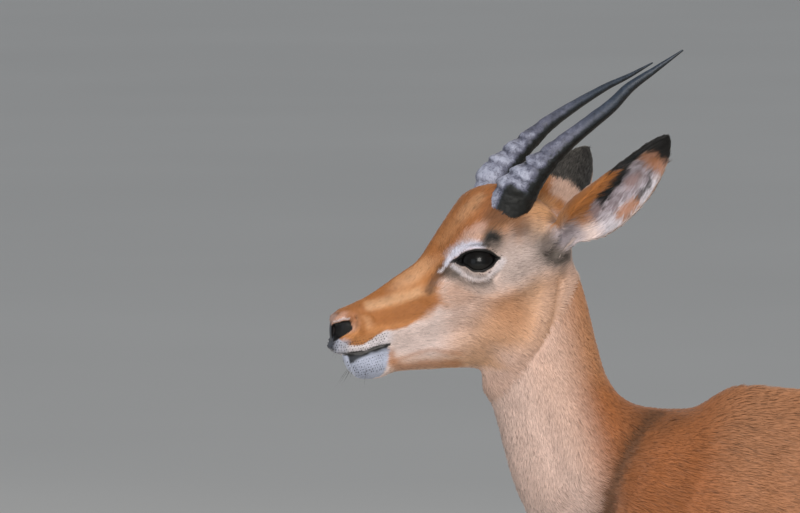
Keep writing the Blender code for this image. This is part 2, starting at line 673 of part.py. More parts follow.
def main():
    for obj in list(bpy.data.objects):
        bpy.data.objects.remove(obj)
    collection = bpy.data.collections.new("impala_ram")
    helpers = bpy.data.collections.new("cutters")
    bpy.context.scene.collection.children.link(collection)
    bpy.context.scene.collection.children.link(helpers)
    body = fused_body(helpers)
    part_body(body, collection)
    add_claws(collection)
    add_head_pieces(body, collection, helpers)
    dress(collection)


if __name__ == "__main__":
    main()
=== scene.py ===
"""The looks of a young impala ram that stands still with its head raised.

One skin is fused from the lofts that the solids were cut from, sunk by the depth of the coat and then
worked over: lids, nostrils, lips, folds and muscles. Short hair lies over it in small closed locks that
follow the lie of the coat, and skin and locks take their colours from the same markings, which also
carry painted shade in creases, nostrils and mouth and painted highlights on a ridge and on the nape.
The animal faces -X and its left side is at -Y. The drawing's x runs from the withers, front negative,
and everything is drawn for the right side (+Y) and mirrored. Units: metres.
"""

import itertools
import logging
import math
from dataclasses import dataclass
from enum import Enum
from typing import Iterable, NamedTuple, Sequence

import bmesh
import bpy
import numpy as np
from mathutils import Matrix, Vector
from mathutils.bvhtree import BVHTree

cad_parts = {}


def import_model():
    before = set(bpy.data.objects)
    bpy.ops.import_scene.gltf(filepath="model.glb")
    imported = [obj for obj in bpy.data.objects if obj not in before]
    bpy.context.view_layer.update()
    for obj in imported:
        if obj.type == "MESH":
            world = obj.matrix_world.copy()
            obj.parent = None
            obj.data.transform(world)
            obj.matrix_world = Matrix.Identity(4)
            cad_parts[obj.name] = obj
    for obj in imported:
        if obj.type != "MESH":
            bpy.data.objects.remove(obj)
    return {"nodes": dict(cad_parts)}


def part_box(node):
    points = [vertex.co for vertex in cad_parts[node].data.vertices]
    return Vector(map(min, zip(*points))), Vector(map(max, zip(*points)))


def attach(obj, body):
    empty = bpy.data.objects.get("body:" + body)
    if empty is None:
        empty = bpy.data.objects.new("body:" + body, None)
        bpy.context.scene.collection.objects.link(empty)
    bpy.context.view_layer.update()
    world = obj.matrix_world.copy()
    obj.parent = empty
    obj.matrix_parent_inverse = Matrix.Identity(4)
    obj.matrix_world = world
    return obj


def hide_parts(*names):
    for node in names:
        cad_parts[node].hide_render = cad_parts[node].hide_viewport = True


LOG = logging.getLogger("impala")
SIDES = {"left": -1, "right": 1}
FLESH = ("head", "neck", "forequarters", "barrel", "hindquarters", "tail", "left_ear", "right_ear")
COAT = "coat_colour"  # the attribute that carries the markings
BARE = "bare_skin"  # the attribute that is 1 on naked skin
HAIR_MAP = "OFBake"


# ---------------------------------------------------------------------------------------------------
# The body's drawing, as in the solids


class Ring(NamedTuple):
    """A cross-section: its low and high point in side view, half width, side and form.

    side is the y of its middle; wide is the place of the widest level, from 0 at the low point to 1 at
    the high one; peak and keel narrow the section towards its high and low points.
    """

    low_x: float
    low_z: float
    high_x: float
    high_z: float
    half: float
    side: float = 0.0
    wide: float = 0.5
    peak: float = 0.0
    keel: float = 0.0


FOOT_Y = 0.066  # from the middle to a foot
SWING = {"left_fore": -0.022, "right_fore": 0.03, "left_hind": 0.04, "right_hind": -0.045}  # backward, at the foot
HIP_HEIGHT = {"fore": 0.56, "hind": 0.62}  # where a leg swings from
TOE = {"fore": -0.113, "hind": 0.581}  # the x of the toes before the swing
# The heights of the claws' front and rear upper edges, a claw's length and width, and the gap between two.
CORONET, HEEL, CLAW_LENGTH, CLAW_WIDTH, CLEFT = 0.04, 0.022, 0.054, 0.0195, 0.003
WAVE_SPAN = 0.314  # between the bands of a wave texture of scale 1
# Where the studio's camera aims: behind the nose's front and at this height.
AIM_BEHIND_NOSE, AIM_HEIGHT = 0.072, 0.984


class Blob(NamedTuple):
    """An ellipsoid region, mirrored to both sides, and how strongly it is worked there."""

    x: float
    y: float
    z: float
    radius_x: float
    radius_y: float
    radius_z: float
    amount: float


def rings(*rows: Sequence[float]) -> tuple:
    """Cross-sections, each from five sizes and perhaps a side in millimetres, and then its form."""
    return tuple(Ring(*(size / 1000 for size in row[:6]), *row[6:]) for row in rows)


def blobs(*rows: Sequence[float]) -> tuple:
    """Blobs, each from its place and radii in millimetres and its amount."""
    return tuple(Blob(*(size / 1000 for size in row[:6]), row[6]) for row in rows)


def mm(*flat: float) -> tuple:
    """A line's points in metres, from their x and z in millimetres one after another."""
    return tuple((x / 1000, z / 1000) for x, z in zip(flat[::2], flat[1::2]))


def level(x: np.ndarray, line: Sequence[Sequence[float]]) -> np.ndarray:
    """A line's height at each x."""
    return np.interp(x, *np.array(line).T)


TRUNK = rings(
    (-202, 672, -150, 735, 30),
    (-190, 618, -120, 775, 62, 0, 0.45, 0.1, 0.1),
    (-158, 564, -85, 804, 86, 0, 0.42, 0.3, 0.1),
    (-108, 525, -45, 829, 102, 0, 0.4, 0.45, 0.1),
    (-40, 504, 0, 849, 110, 0, 0.4, 0.5, 0.1),
    (30, 498, 55, 844, 115, 0, 0.42, 0.4, 0.1),
    (110, 499, 120, 837, 119, 0, 0.45, 0.25, 0),
    (195, 507, 195, 834, 122, 0, 0.46, 0.15, 0),
    (275, 521, 275, 837, 121, 0, 0.47, 0.1, 0),
    (350, 541, 350, 843, 114, 0, 0.48, 0.1, 0.1),
    (420, 568, 420, 847, 105, 0, 0.52, 0.05, 0.2),
    (490, 595, 495, 844, 101, 0, 0.56, 0.05, 0.2),
    (565, 618, 580, 831, 93, 0, 0.58, 0.1, 0.1),
    (625, 640, 648, 808, 73, 0, 0.58, 0.15, 0),
    (667, 672, 688, 780, 45, 0, 0.55),
    (688, 705, 702, 753, 18),
)

NECK = rings(
    (-240, 945, -187, 985, 20),
    (-246, 905, -173, 970, 36),
    (-270, 872, -162, 938, 41, 0, 0.5),
    (-270, 852, -152.5, 900, 42.5, 0, 0.52, 0.1, 0.1),
    (-259, 829, -140, 860, 44.5, 0, 0.52, 0.1, 0.1),
    (-250, 796, -110, 831, 49.5, 0, 0.5, 0.1, 0.1),
    (-239, 756, -60, 825, 59, 0, 0.46, 0.25, 0.1),
    (-220, 712, -15, 827, 73, 0, 0.44, 0.3, 0.1),
    (-204, 665, 20, 800, 82, 0, 0.42, 0.3, 0.1),
    (-170, 620, 50, 740, 70, 0, 0.45),
    (-100, 630, 50, 700, 30, 0, 0.45),
)

FACE = rings(
    (-426.5, 900, -427.5, 919, 10),
    (-423.5, 893, -421.5, 930, 19, 0, 0.5, -0.1, 0),
    (-411, 889, -406.5, 937, 23, 0, 0.48, 0.1, 0),
    (-392, 888, -386, 947, 24.5, 0, 0.42, 0.3, 0),
    (-367, 888, -360, 965, 25.5, 0, 0.38, 0.4, 0),
    (-340, 888, -337, 981, 27.5, 0, 0.4, 0.45, 0),
    (-317, 888, -318, 1007, 33.5, 0, 0.55, 0.35, 0.1),
    (-296, 890, -302, 1029, 41.5, 0, 0.64, 0.2, 0.15),
    (-273, 895, -285, 1048, 47, 0, 0.6, -0.05, 0.15),
    (-248, 900, -259, 1056, 47, 0, 0.58, -0.2, 0.1),
    (-226, 912, -232, 1051, 43, 0, 0.58, -0.2, 0.1),
    (-206, 932, -207, 1036, 40, 0, 0.58, -0.1, 0.1),
    (-188, 955, -187, 1012, 29, 0, 0.5),
    (-178, 970, -178, 992, 12),
)

JAW = rings(
    (-413, 878, -414, 889, 8),
    (-406, 867, -408, 892, 14),
    (-393, 861, -391, 895, 16.5),
    (-378, 861, -373, 897, 16.5),
    (-358, 868, -353, 900, 17.5),
    (-327, 869, -323, 910, 21, 0, 0.55, 0, 0.1),
    (-297, 870, -293, 925, 26.5, 0, 0.6, 0, 0.2),
    (-270, 869, -263, 945, 32, 0, 0.6, 0, 0.25),
    (-247, 874, -237, 955, 34.5, 0, 0.6, 0, 0.2),
    (-228, 890, -217, 952, 30),
    (-215, 912, -208, 940, 15),
)

# The legs run down, so a ring's low point is its front and its high point is its rear.
FORE_LEG = rings(
    (-118, 640, -20, 680, 20, 70),
    (-132, 605, 10, 620, 32, 75),
    (-122, 552, 12, 560, 35, 77),
    (-100, 505, 6, 515, 32, 77),
    (-84, 460, -14, 465, 25.5, 75),
    (-79, 410, -25, 412, 20.5, 73),
    (-76.5, 360, -34.5, 360, 18, 71),
    (-77, 318, -37, 318, 18.8, 70),
    (-77.5, 290, -36.5, 290, 20.5, 70),
    (-72.5, 264, -38.5, 264, 17.8, 69),
    (-66, 230, -38.8, 230, 13.8, 68),
    (-63, 170, -37.5, 170, 12.8, 67),
    (-62.5, 130, -34.5, 130, 13.5, 66),
    (-65, 100, -29, 98, 16.8, 66),
    (-72, 74, -41, 66, 16, 66),
    (-88, 46, -44, 34, 19, 66),
    (-95, 28, -46, 18, 19, 66),
    (-88, 14, -54, 10, 10, 66),
)

HIND_LEG = rings(
    (468, 770, 668, 775, 30, 55),
    (443, 730, 690, 735, 47, 62),
    (440, 665, 686, 675, 50, 67),
    (438, 600, 658, 618, 46, 70),
    (460, 535, 630, 565, 38, 70),
    (513, 470, 622, 520, 30.5, 68),
    (560, 405, 640, 460, 23.5, 66),
    (600, 352, 670, 396, 19.5, 64),
    (630, 316, 689, 342, 20, 63),
    (640, 280, 682.5, 286, 18, 63),
    (641, 235, 674, 237, 15, 63),
    (638.5, 170, 667, 170, 13.8, 64),
    (633.5, 125, 666.5, 122, 14.5, 65),
    (629, 98, 665.5, 94, 17.2, 66),
    (621, 72, 652, 64, 16.2, 66),
    (605, 46, 649, 34, 19, 66),
    (598, 28, 647, 18, 19, 66),
    (605, 14, 639, 10, 10, 66),
)

TAIL = rings(
    (650, 782, 655, 812, 12),
    (678, 764, 698, 801, 18),
    (693, 736, 726, 760, 22),
    (698, 698, 738, 705, 25),
    (697, 645, 740, 645, 27),
    (695, 588, 733, 588, 25),
    (697, 540, 723, 540, 16),
    (703, 512, 712, 512, 5),
)


# Where the lofts meet and the joint between them is rubbed smooth.
JUNCTIONS = blobs(
    (-80, 80, 560, 110, 90, 110, 1),
    (-90, 50, 760, 190, 130, 130, 1),
    (528, 60, 680, 200, 130, 160, 1),
    (-225, 35, 910, 60, 50, 75, 0.8),
    (-360, 20, 893, 60, 30, 16, 0.5),
)

# Muscles and bone under the skin, pushed out sideways by the amount.
SWELLS = blobs(
    (-262, 36, 918, 40, 30, 42, 0.004),
    (-286, 44, 1006, 34, 30, 16, 0.006),
    (-255, 48, 978, 40, 30, 24, 0.003),
    (-335, 28, 930, 50, 25, 22, -0.0025),
    (-412, 20, 918, 18, 16, 16, 0.002),
    (-110, 95, 655, 55, 60, 75, 0.008),
    (-20, 100, 720, 60, 60, 100, 0.005),
    (548, 95, 690, 110, 60, 100, 0.008),
)

# Each row is x, distance from the midline, z and radius, in millimetres.
HORN_PATHS = {
    "left": np.array((
        (-256, 22.5, 1014, 22.5),
        (-243, 28, 1044.9, 20.8),
        (-226.9, 31.5, 1065.4, 15.5),
        (-209.2, 35, 1083.5, 11.5),
        (-188.6, 39, 1102.5, 9.2),
        (-169, 43, 1118.5, 8.2),
        (-149.5, 47.5, 1134.5, 7.2),
        (-130, 52, 1154.3, 5.6),
        (-105.5, 57, 1171.6, 3.4),
        (-77.8, 61.5, 1191, 0.9),
    )) / 1000,
    "right": np.array((
        (-264, 22.5, 1022, 19),
        (-248.6, 28, 1057.8, 17.5),
        (-230.8, 31.5, 1078.7, 12.8),
        (-211.5, 35, 1096.6, 9.8),
        (-191.1, 39, 1112.6, 7.8),
        (-169.7, 43, 1125.7, 6.3),
        (-148.1, 47.5, 1137.5, 5),
        (-126.5, 52, 1148.2, 3.8),
        (-104, 56, 1157.5, 2.6),
        (-77.5, 60, 1170.5, 0.8),
    )) / 1000,
}

# Where the rings' crests stand on each horn, counted in rows of its path from the skull.
RING_PLACES = {"left": (1.15, 1.7, 2.45, 3.2, 3.8), "right": (0.85, 1.45, 2.15, 2.9, 3.75)}

RING_HEIGHTS = (1.0, 0.95, 0.85, 0.55, 0.25)

EAR_ROOT = Vector((-0.196, 0.04, 1.003))
EAR_TIPS = {"left": Vector((-0.108, 0.12, 1.11)), "right": Vector((-0.1275, 0.13, 1.08))}
EAR_OPENINGS = {"left": Vector((0.1, 0.93, -0.62)), "right": Vector((-0.6, 0.75, -0.32))}

EYE_CENTRE = (-0.2815, 0.0345, 0.98)
EYEBALL = 0.018  # radius


# ---------------------------------------------------------------------------------------------------
# Small tools


def smooth_through(values: np.ndarray, places: np.ndarray) -> np.ndarray:
    """Reads rows of values along a smooth curve that never overshoots.

    Args:
        values: One row for each of the places 0, 1, 2 and so on.
        places: Where to read, between 0 and the last row.

    Returns:
        One row for each place.
    """
    steps = np.diff(values, axis=0)
    slopes = np.empty_like(values)
    slopes[0], slopes[-1] = steps[0], steps[-1]
    same_way = steps[:-1] * steps[1:] > 0
    total = np.where(same_way, steps[:-1] + steps[1:], 1.0)
    slopes[1:-1] = np.where(same_way, 2 * steps[:-1] * steps[1:] / total, 0.0)
    cell = np.clip(places.astype(int), 0, len(values) - 2)
    t = (places - cell)[:, None]
    rise = t * t * (3 - 2 * t)
    bend = slopes[cell] * t * (1 - t) ** 2 - slopes[cell + 1] * t * t * (1 - t)
    return values[cell] * (1 - rise) + values[cell + 1] * rise + bend


def fade(values: np.ndarray, start: float, end: float) -> np.ndarray:
    """0 up to start, 1 from end on, and a smooth rise between them (start may be the greater)."""
    t = np.clip((values - start) / (end - start), 0.0, 1.0)
    return t * t * (3 - 2 * t)


def mottle(points: np.ndarray, size: float, seed: int = 0) -> np.ndarray:
    """Smooth noise from -1 to 1.

    Args:
        points: Places, one row each.
        size: How wide one spot of the noise is.
        seed: Another number gives another pattern.

    Returns:
        One value for each point.
    """
    scaled = points / size + seed * 17.31
    cell = np.floor(scaled).astype(np.int64)
    t = scaled - cell
    t = t * t * (3 - 2 * t)
    total = np.zeros(len(points))
    for corner in np.ndindex(2, 2, 2):
        mixed = (cell + corner) @ np.array((73856093, 19349663, 83492791))
        mixed = ((mixed ^ (mixed >> 13)) * 1274126177) & 0x7FFFFFFF
        mixed = (mixed ^ (mixed >> 11)) & 0xFFFF
        total += (mixed / 32767.5 - 1) * np.prod(np.where(corner, t, 1 - t), axis=1)
    return total


def unit(vectors: np.ndarray) -> np.ndarray:
    """The rows at length 1."""
    return vectors / np.maximum(np.linalg.norm(vectors, axis=1, keepdims=True), 1e-12)


def rounded(line: Sequence[Sequence[float]], per_span: int = 4) -> np.ndarray:
    """A line with its corners rounded: a curve that passes through all of its points."""
    stops = np.array(line, float)
    padded = np.vstack([2 * stops[0] - stops[1], stops, 2 * stops[-1] - stops[-2]])
    t = np.linspace(0, 1, per_span, endpoint=False)[:, None]
    rows = []
    for a, b, c, d in zip(padded, padded[1:], padded[2:], padded[3:]):
        cubic = 2 * b + (c - a) * t + (2 * a - 5 * b + 4 * c - d) * t**2 + (3 * b - a - 3 * c + d) * t**3
        rows.append(cubic / 2)
    return np.vstack([*rows, stops[-1:]])


def near_line(points: np.ndarray, line: Sequence[Sequence[float]], reach: float) -> tuple:
    """How near points come, in side view, to a line.

    Args:
        points: Places, one row of x, y and z each.
        line: The x and z of the line's points.
        reach: How far from the line to look.

    Returns:
        The numbers of the points within reach, their distances, and how far along the line they are,
        from 0 to 1.
    """
    stops = rounded(line)
    flat = points[:, [0, 2]]
    low, high = stops.min(axis=0) - reach, stops.max(axis=0) + reach
    found = np.flatnonzero(((flat > low) & (flat < high)).all(axis=1))
    flat = flat[found]
    away = np.full(len(found), reach * 2.0)
    along = np.zeros(len(found))
    for index, (start, step) in enumerate(zip(stops, np.diff(stops, axis=0))):
        t = np.clip(((flat - start) @ step) / (step @ step), 0, 1)
        off = np.linalg.norm(flat - start - t[:, None] * step, axis=1)
        nearer = off < away
        away[nearer] = off[nearer]
        along[nearer] = (index + t[nearer]) / (len(stops) - 1)
    inside = away < reach
    return found[inside], away[inside], along[inside]


def oval_share(points: np.ndarray, oval: Sequence[float], soft: float) -> np.ndarray:
    """How far inside an oval, drawn in side view, points lie.

    Args:
        points: Places, one row each.
        oval: Its x, z, radius along and radius across in millimetres, and its tilt in degrees.
        soft: How much of the radius the edge fades over.

    Returns:
        1 inside, 0 outside, and between them at the soft edge.
    """
    x, z, along, across = (size / 1000 for size in oval[:4])
    turn = math.radians(oval[4])
    right, up = points[:, 0] - x, points[:, 2] - z
    u = (right * math.cos(turn) + up * math.sin(turn)) / along
    v = (up * math.cos(turn) - right * math.sin(turn)) / across
    return fade(np.hypot(u, v), 1 + soft / 2, 1 - soft / 2)


def rows_of(items: bpy.types.bpy_prop_collection, name: str) -> np.ndarray:
    """One row of three numbers for each item of a mesh."""
    flat = np.empty(len(items) * 3)
    items.foreach_get(name, flat)
    return flat.reshape(-1, 3)


def points_of(mesh: bpy.types.Mesh) -> np.ndarray:
    """The places of a mesh's vertices."""
    return rows_of(mesh.vertices, "co")


def normals_of(mesh: bpy.types.Mesh) -> np.ndarray:
    """The outward directions at a mesh's vertices."""
    return rows_of(mesh.vertex_normals, "vector")


def place_points(mesh: bpy.types.Mesh, points: np.ndarray) -> None:
    """Moves a mesh's vertices."""
    mesh.vertices.foreach_set("co", points.astype(np.float32).ravel())
    mesh.update()


def store(mesh: bpy.types.Mesh, name: str, values: np.ndarray) -> None:
    """Stores one value for each vertex under a name."""
    mesh.attributes.new(name, "FLOAT", "POINT").data.foreach_set("value", values.astype(np.float32))


def store_colour(mesh: bpy.types.Mesh, colours: np.ndarray) -> None:
    """Stores one linear colour for each vertex as the coat's colour."""
    rgba = np.column_stack([colours, np.ones(len(colours))]).astype(np.float32)
    mesh.color_attributes.new(COAT, "FLOAT_COLOR", "POINT").data.foreach_set("color", rgba.ravel())


def face_out(bm: bmesh.types.BMesh) -> None:
    """Turns a bmesh's faces outwards."""
    bm.normal_update()
    bmesh.ops.recalc_face_normals(bm, faces=bm.faces)


def move_verts(bm: bmesh.types.BMesh, places: Iterable) -> None:
    """Moves a bmesh's vertices and turns its faces outwards."""
    for vert, place in zip(bm.verts, places):
        vert.co = place
    face_out(bm)


def split_many_sided(bm: bmesh.types.BMesh) -> None:
    """Splits the faces with more than four sides into triangles."""
    bmesh.ops.triangulate(bm, faces=[face for face in bm.faces if len(face.verts) > 4])


def new_object(name: str, bm: bmesh.types.BMesh, smooth: bool = False, **fields: np.ndarray) -> bpy.types.Object:
    """Puts a bmesh into a named object of the scene.

    Args:
        name: The object's name.
        bm: The bmesh, which is freed.
        smooth: Whether its faces are shaded smooth.
        fields: Values to store at the vertices, by name.

    Returns:
        The object.
    """
    mesh = bpy.data.meshes.new(name)
    bm.to_mesh(mesh)
    bm.free()
    for field, values in fields.items():
        store(mesh, field, values)
    if smooth:
        mesh.shade_smooth()
    obj = bpy.data.objects.new(name, mesh)
    bpy.context.scene.collection.objects.link(obj)
    return obj


def bake(obj: bpy.types.Object) -> bpy.types.Mesh:
    """A new mesh of what an object's modifiers and bevels give."""
    graph = bpy.context.evaluated_depsgraph_get()
    return bpy.data.meshes.new_from_object(obj.evaluated_get(graph))


def modify(obj: bpy.types.Object, kind: str, share: np.ndarray | None = None, **settings: object) -> None:
    """Works one modifier into an object's mesh.

    Args:
        obj: The object.
        kind: The modifier's type.
        share: How strongly it works at each vertex, if not everywhere.
        settings: The modifier's settings.
    """
    modifier = obj.modifiers.new("work", kind)
    for name, value in settings.items():
        setattr(modifier, name, value)
    if share is not None:
        group = obj.vertex_groups.new(name="share")
        levels = np.round(np.clip(share, 0, 1) * 20).astype(int)
        for level in range(1, 21):
            group.add(np.flatnonzero(levels == level).tolist(), level / 20, "REPLACE")
        modifier.vertex_group = group.name
    old, mesh = obj.data, bake(obj)
    obj.modifiers.clear()
    obj.data = mesh
    bpy.data.meshes.remove(old)
    obj.vertex_groups.clear()


def rub(obj: bpy.types.Object, times: int, share: np.ndarray | None = None) -> None:
    """Rubs an object's mesh smooth, more where the share is higher."""
    modify(obj, "SMOOTH", share, factor=0.5, iterations=times)


# ---------------------------------------------------------------------------------------------------
# Lofts, ears and the eye's surroundings


def sleeve(spans: int, around: int, rows: int) -> tuple:
    """A sphere that can be bent along a line.

    Args:
        spans: How many spans the line has.
        around: How many faces it has round it.
        rows: How many rows of faces a span gets.

    Returns:
        Its bmesh and, for each vertex, the place along the line in spans, the turn round the line and
        whether it is off the poles.
    """
    bm = bmesh.new()
    bmesh.ops.create_uvsphere(bm, u_segments=around, v_segments=rows * spans, radius=1.0)
    x, y, z = np.array([vert.co for vert in bm.verts]).T
    return bm, np.arccos(np.clip(z, -1.0, 1.0)) / math.pi * spans, np.arctan2(y, x), np.hypot(x, y) > 1e-6


def loft(rings: Sequence[Ring], around: int = 40, rows: int = 6) -> bmesh.types.BMesh:
    """A closed body through the rings, bent from the grid of a sphere whose poles are its ends."""
    bm, places, turn, off_pole = sleeve(len(rings) - 1, around, rows)
    ring = smooth_through(np.array(rings), places).T
    low_x, low_z, high_x, high_z, half, side, wide, peak, keel = ring
    rise, across = np.sin(turn) * off_pole, np.cos(turn) * off_pole
    level = wide + np.where(rise > 0, (1 - wide) * rise, wide * rise)
    y = side + half * across * (1 - np.where(rise > 0, peak, keel) * rise**2)
    move_verts(bm, zip(low_x + (high_x - low_x) * level, y, low_z + (high_z - low_z) * level))
    return bm


def swung(rings: Iterable[Ring], swing: float, hip: float, sign: int) -> Iterable[Ring]:
    """The rings of one leg, leaning from its hip height so that the foot lies `swing` off."""
    for ring in rings:
        low, high = (swing * min(max((hip - z) / hip, 0.0), 1.0) for z in (ring.low_z, ring.high_z))
        yield ring._replace(low_x=ring.low_x + low, high_x=ring.high_x + high, side=sign * ring.side)


def blob_share(points: np.ndarray, blob: Blob) -> np.ndarray:
    """How far inside a blob each point lies: 1 at its middle, falling to 0 at its edge."""
    mirrored = points.copy()
    mirrored[:, 1] = np.abs(points[:, 1])
    away = (mirrored - blob[:3]) / blob[3:6]
    return np.clip(1 - (away**2).sum(axis=1), 0, 1) ** 2


@dataclass(frozen=True)
class Ear:
    """A cupped leaf, rolled into a tube at its root and open to the side and rear."""

    side: str
    half_width: float = 0.0298
    tube: float = 0.0135  # half width of the rolled root
    edge: float = 0.0012  # half width at the very tip
    buried: float = -0.12  # where the leaf starts, inside the head, as a share of its length
    wall: float = 0.006  # before the coat's depth is taken off it
    focus: float = 0.022  # how far in front of the leaf's middle line its inner side looks

    @property
    def length(self) -> float:
        """From the root to the tip."""
        return (EAR_TIPS[self.side] - EAR_ROOT).length

    def axes(self) -> np.ndarray:
        """Rows of unit vectors: root to tip, across the leaf, and out of its opening."""
        axis = (EAR_TIPS[self.side] - EAR_ROOT).normalized()
        opening = EAR_OPENINGS[self.side]
        opening = (opening - axis * opening.dot(axis)).normalized()
        return np.array([axis, axis.cross(opening).normalized(), opening])

    def solid(self) -> bpy.types.Object:
        """The leaf, bent from a grid, with its wall."""
        bm = bmesh.new()
        bmesh.ops.create_grid(bm, x_segments=80, y_segments=40, size=1.0)
        axis, width, opening = (Vector(row) for row in self.axes())
        places = []
        for vert in bm.verts:
            along = self.buried + (1 - self.buried) * (vert.co.x + 1) / 2
            outward = max(along, 0.0)
            full = math.sin(math.pi * outward**0.86) ** 0.6 if 0 < outward < 1 else 0.0
            half = max(self.half_width * full, self.tube * (1 - outward), self.edge)
            roll = math.radians(150 - 118 * outward**0.6)
            radius = half / math.sin(min(roll, math.pi / 2))
            bend = vert.co.y * roll
            droop = 0.006 * math.sin(math.pi * outward**1.4) - 0.004 * (1 - outward)
            deep = radius * (math.cos(roll) - 2 * math.cos(bend) + 1) / 2
            out = radius * math.sin(bend) - droop
            place = EAR_ROOT + axis * (self.length * along) + width * out + opening * deep
            places.append((place.x, SIDES[self.side] * place.y, place.z))
        move_verts(bm, places)
        obj = new_object(f"{self.side}_leaf", bm)
        modify(obj, "SOLIDIFY", thickness=self.wall, offset=0.0)
        return obj

    def as_right(self, rows: np.ndarray) -> np.ndarray:
        """The same places or directions, mirrored to the right side if this ear is the left one."""
        return rows * np.array((1, SIDES[self.side], 1))

    def read(self, points: np.ndarray, normals: np.ndarray) -> tuple:
        """Where points lie on this ear.

        Args:
            points: Places on the body.
            normals: Their outward directions.

        Returns:
            The numbers of the points on the ear's side of the upper head and, for each of these: how much
            it belongs to the ear, its place from root (0) to tip (1), its place across from the rear
            edge (-1) to the front edge (1), and how much it faces inwards.
        """
        own = np.flatnonzero((points[:, 1] * SIDES[self.side] > 0.03) & (points[:, 2] > 0.97))
        points, normals = self.as_right(points[own]), self.as_right(normals[own])
        axes = self.axes()
        along, across, deep = ((points - np.array(EAR_ROOT)) @ axes.T).T
        along = along / self.length
        belongs = fade(along, 0.1, 0.24) * (np.abs(across) < 0.045) * (np.abs(deep) < 0.045)
        half = np.maximum(self.half_width * np.sin(np.pi * np.clip(along, 0, 1) ** 0.86) ** 0.6, 0.006)
        droop = 0.006 * np.sin(np.pi * np.clip(along, 0, 1) ** 1.4)
        hollow = np.array(EAR_ROOT) + np.outer(along * self.length, axes[0]) + self.focus * axes[2]
        inner = fade(((hollow - points) * normals).sum(axis=1) / self.focus, -0.15, 0.35)
        return own, belongs, along, (across + droop) / half, inner


@dataclass(frozen=True)
class EyeSocket:
    """The place of an eye and the almond between its lids, for the right side."""

    lid: float = 0.0011  # thickness of the lids over the ball
    gaze: tuple = (-0.26, 0.955, 0.1)
    # The lids' edges seen along the gaze: backward and upward of the ball's middle.
    upper: tuple = mm(-23.5, 1, -17.2, 6, -11.2, 9.5, -3, 11.5, 6, 11.2, 13.6, 8.7, 20.5, 4)
    lower: tuple = mm(-23.5, 1, -18, -2.2, -12.5, -3.8, -6.2, -8, -0.5, -9.2, 6, -8.4, 12.8, -4.4, 20.5, 4)

    def axes(self) -> np.ndarray:
        """Rows of unit vectors: backward, upward and along the gaze."""
        out = Vector(self.gaze).normalized()
        up = (Vector((0, 0, 1)) - out * out.z).normalized()
        return np.array([out.cross(up).normalized(), up, out])

    def local(self, points: np.ndarray) -> np.ndarray:
        """Places as backward, upward and outward of the ball's middle."""
        return (points - np.array(EYE_CENTRE)) @ self.axes().T

    def lid_height(self, back: np.ndarray, up: np.ndarray) -> np.ndarray:
        """How far out the lids lie: a ball's shape that runs on as a cone beside it."""
        radius = EYEBALL + self.lid
        out = np.hypot(back, up)
        turn = 0.82 * radius
        edge = math.sqrt(radius**2 - turn**2)
        on_ball = np.sqrt(np.maximum(radius**2 - out**2, edge**2))
        return np.where(out < turn, on_ball, edge - (out - turn) * turn / edge * 0.4)

    def inside(self, back: np.ndarray, up: np.ndarray) -> np.ndarray:
        """How far inside the almond places lie, in metres, negative outside it."""
        upper, lower = rounded(self.upper), rounded(self.lower)
        ends = np.minimum(back - upper[0, 0], upper[-1, 0] - back)
        return np.minimum(np.minimum(level(back, upper) - up, up - level(back, lower)), ends)

    def margin(self) -> np.ndarray:
        """The closed line of the lids' edges, as places in the drawing."""
        line = np.vstack([rounded(self.upper, 6), rounded(self.lower, 6)[-2:0:-1]])
        height = self.lid_height(line[:, 0], line[:, 1]) - 0.0002
        return np.array(EYE_CENTRE) + np.column_stack([line, height]) @ self.axes()


# ---------------------------------------------------------------------------------------------------
# The skin


class Stroke(NamedTuple):
    """A line worked into the skin, in side view: raised by `rise` or, below 0, pressed in."""

    line: tuple
    half_width: float
    rise: float


def shifted(line: Sequence[Sequence[float]], right: float, up: float) -> tuple:
    """The same line a little way off."""
    return tuple((x + right, z + up) for x, z in line)


MOUTH = mm(-430, 889.5, -423.3, 888.1, -410, 888.9, -395.6, 890.6, -381.3, 895.3, -369, 898)
NOSTRIL = (-418, 913, 13, 8.2, 22)
FOLD = mm(-390, 933, -375.5, 936.9, -356, 942.5, -331.3, 950.1)
TEAR_LINE = mm(-307.5, 980, -314.4, 974.1, -321, 966, -326.5, 957.8, -331, 950)
BROW = mm(
    -320.5, 968, -317.2, 971.9, -313.6, 977.6, -309.8, 984.2, -305.3, 990, -300, 994.2, -294.2, 997,
    -287, 998.2, -278.5, 997.8,
)
JAW_LINE = mm(-195.5, 967.8, -201.6, 938.9, -212.9, 902.9, -233.4, 874.2)
SHOULDER_LINE = mm(-50.4, 845, -86.3, 829.8, -121.2, 804.4, -147.9, 763.8, -158.2, 725, -154, 685)
UNDER_EYE = mm(
    -305.2, 974.7, -299.9, 970.8, -293.5, 967, -285.8, 964, -278, 964, -271.1, 968, -264.9, 973.8,
    -259.6, 980.7,
)

FACE_WORK = (
    Stroke(MOUTH, 0.0018, -0.0016),
    Stroke(shifted(MOUTH, 0.0, 0.0038), 0.0036, 0.0008),
    Stroke(shifted(MOUTH, 0.0, -0.0036), 0.0036, 0.0004),
    Stroke(FOLD, 0.005, 0.0014),
    Stroke(shifted(FOLD, 0.0, -0.0095), 0.007, -0.0012),
    Stroke(shifted(FOLD, -0.004, 0.011), 0.008, -0.0008),
    Stroke(TEAR_LINE, 0.004, -0.0018),
    Stroke(shifted(BROW, 0.002, 0.002), 0.0075, 0.0016),
    Stroke(shifted(UNDER_EYE, 0.0, -0.0055), 0.0035, -0.0008),
    Stroke(mm(-302, 952, -274, 944, -244, 952, -214, 972), 0.011, 0.0014),
    Stroke(mm(-356, 909, -320, 910, -290, 920), 0.012, -0.0012),
    Stroke(JAW_LINE, 0.0075, -0.0028),
    Stroke(shifted(JAW_LINE, -0.012, 0.002), 0.009, 0.0012),
)
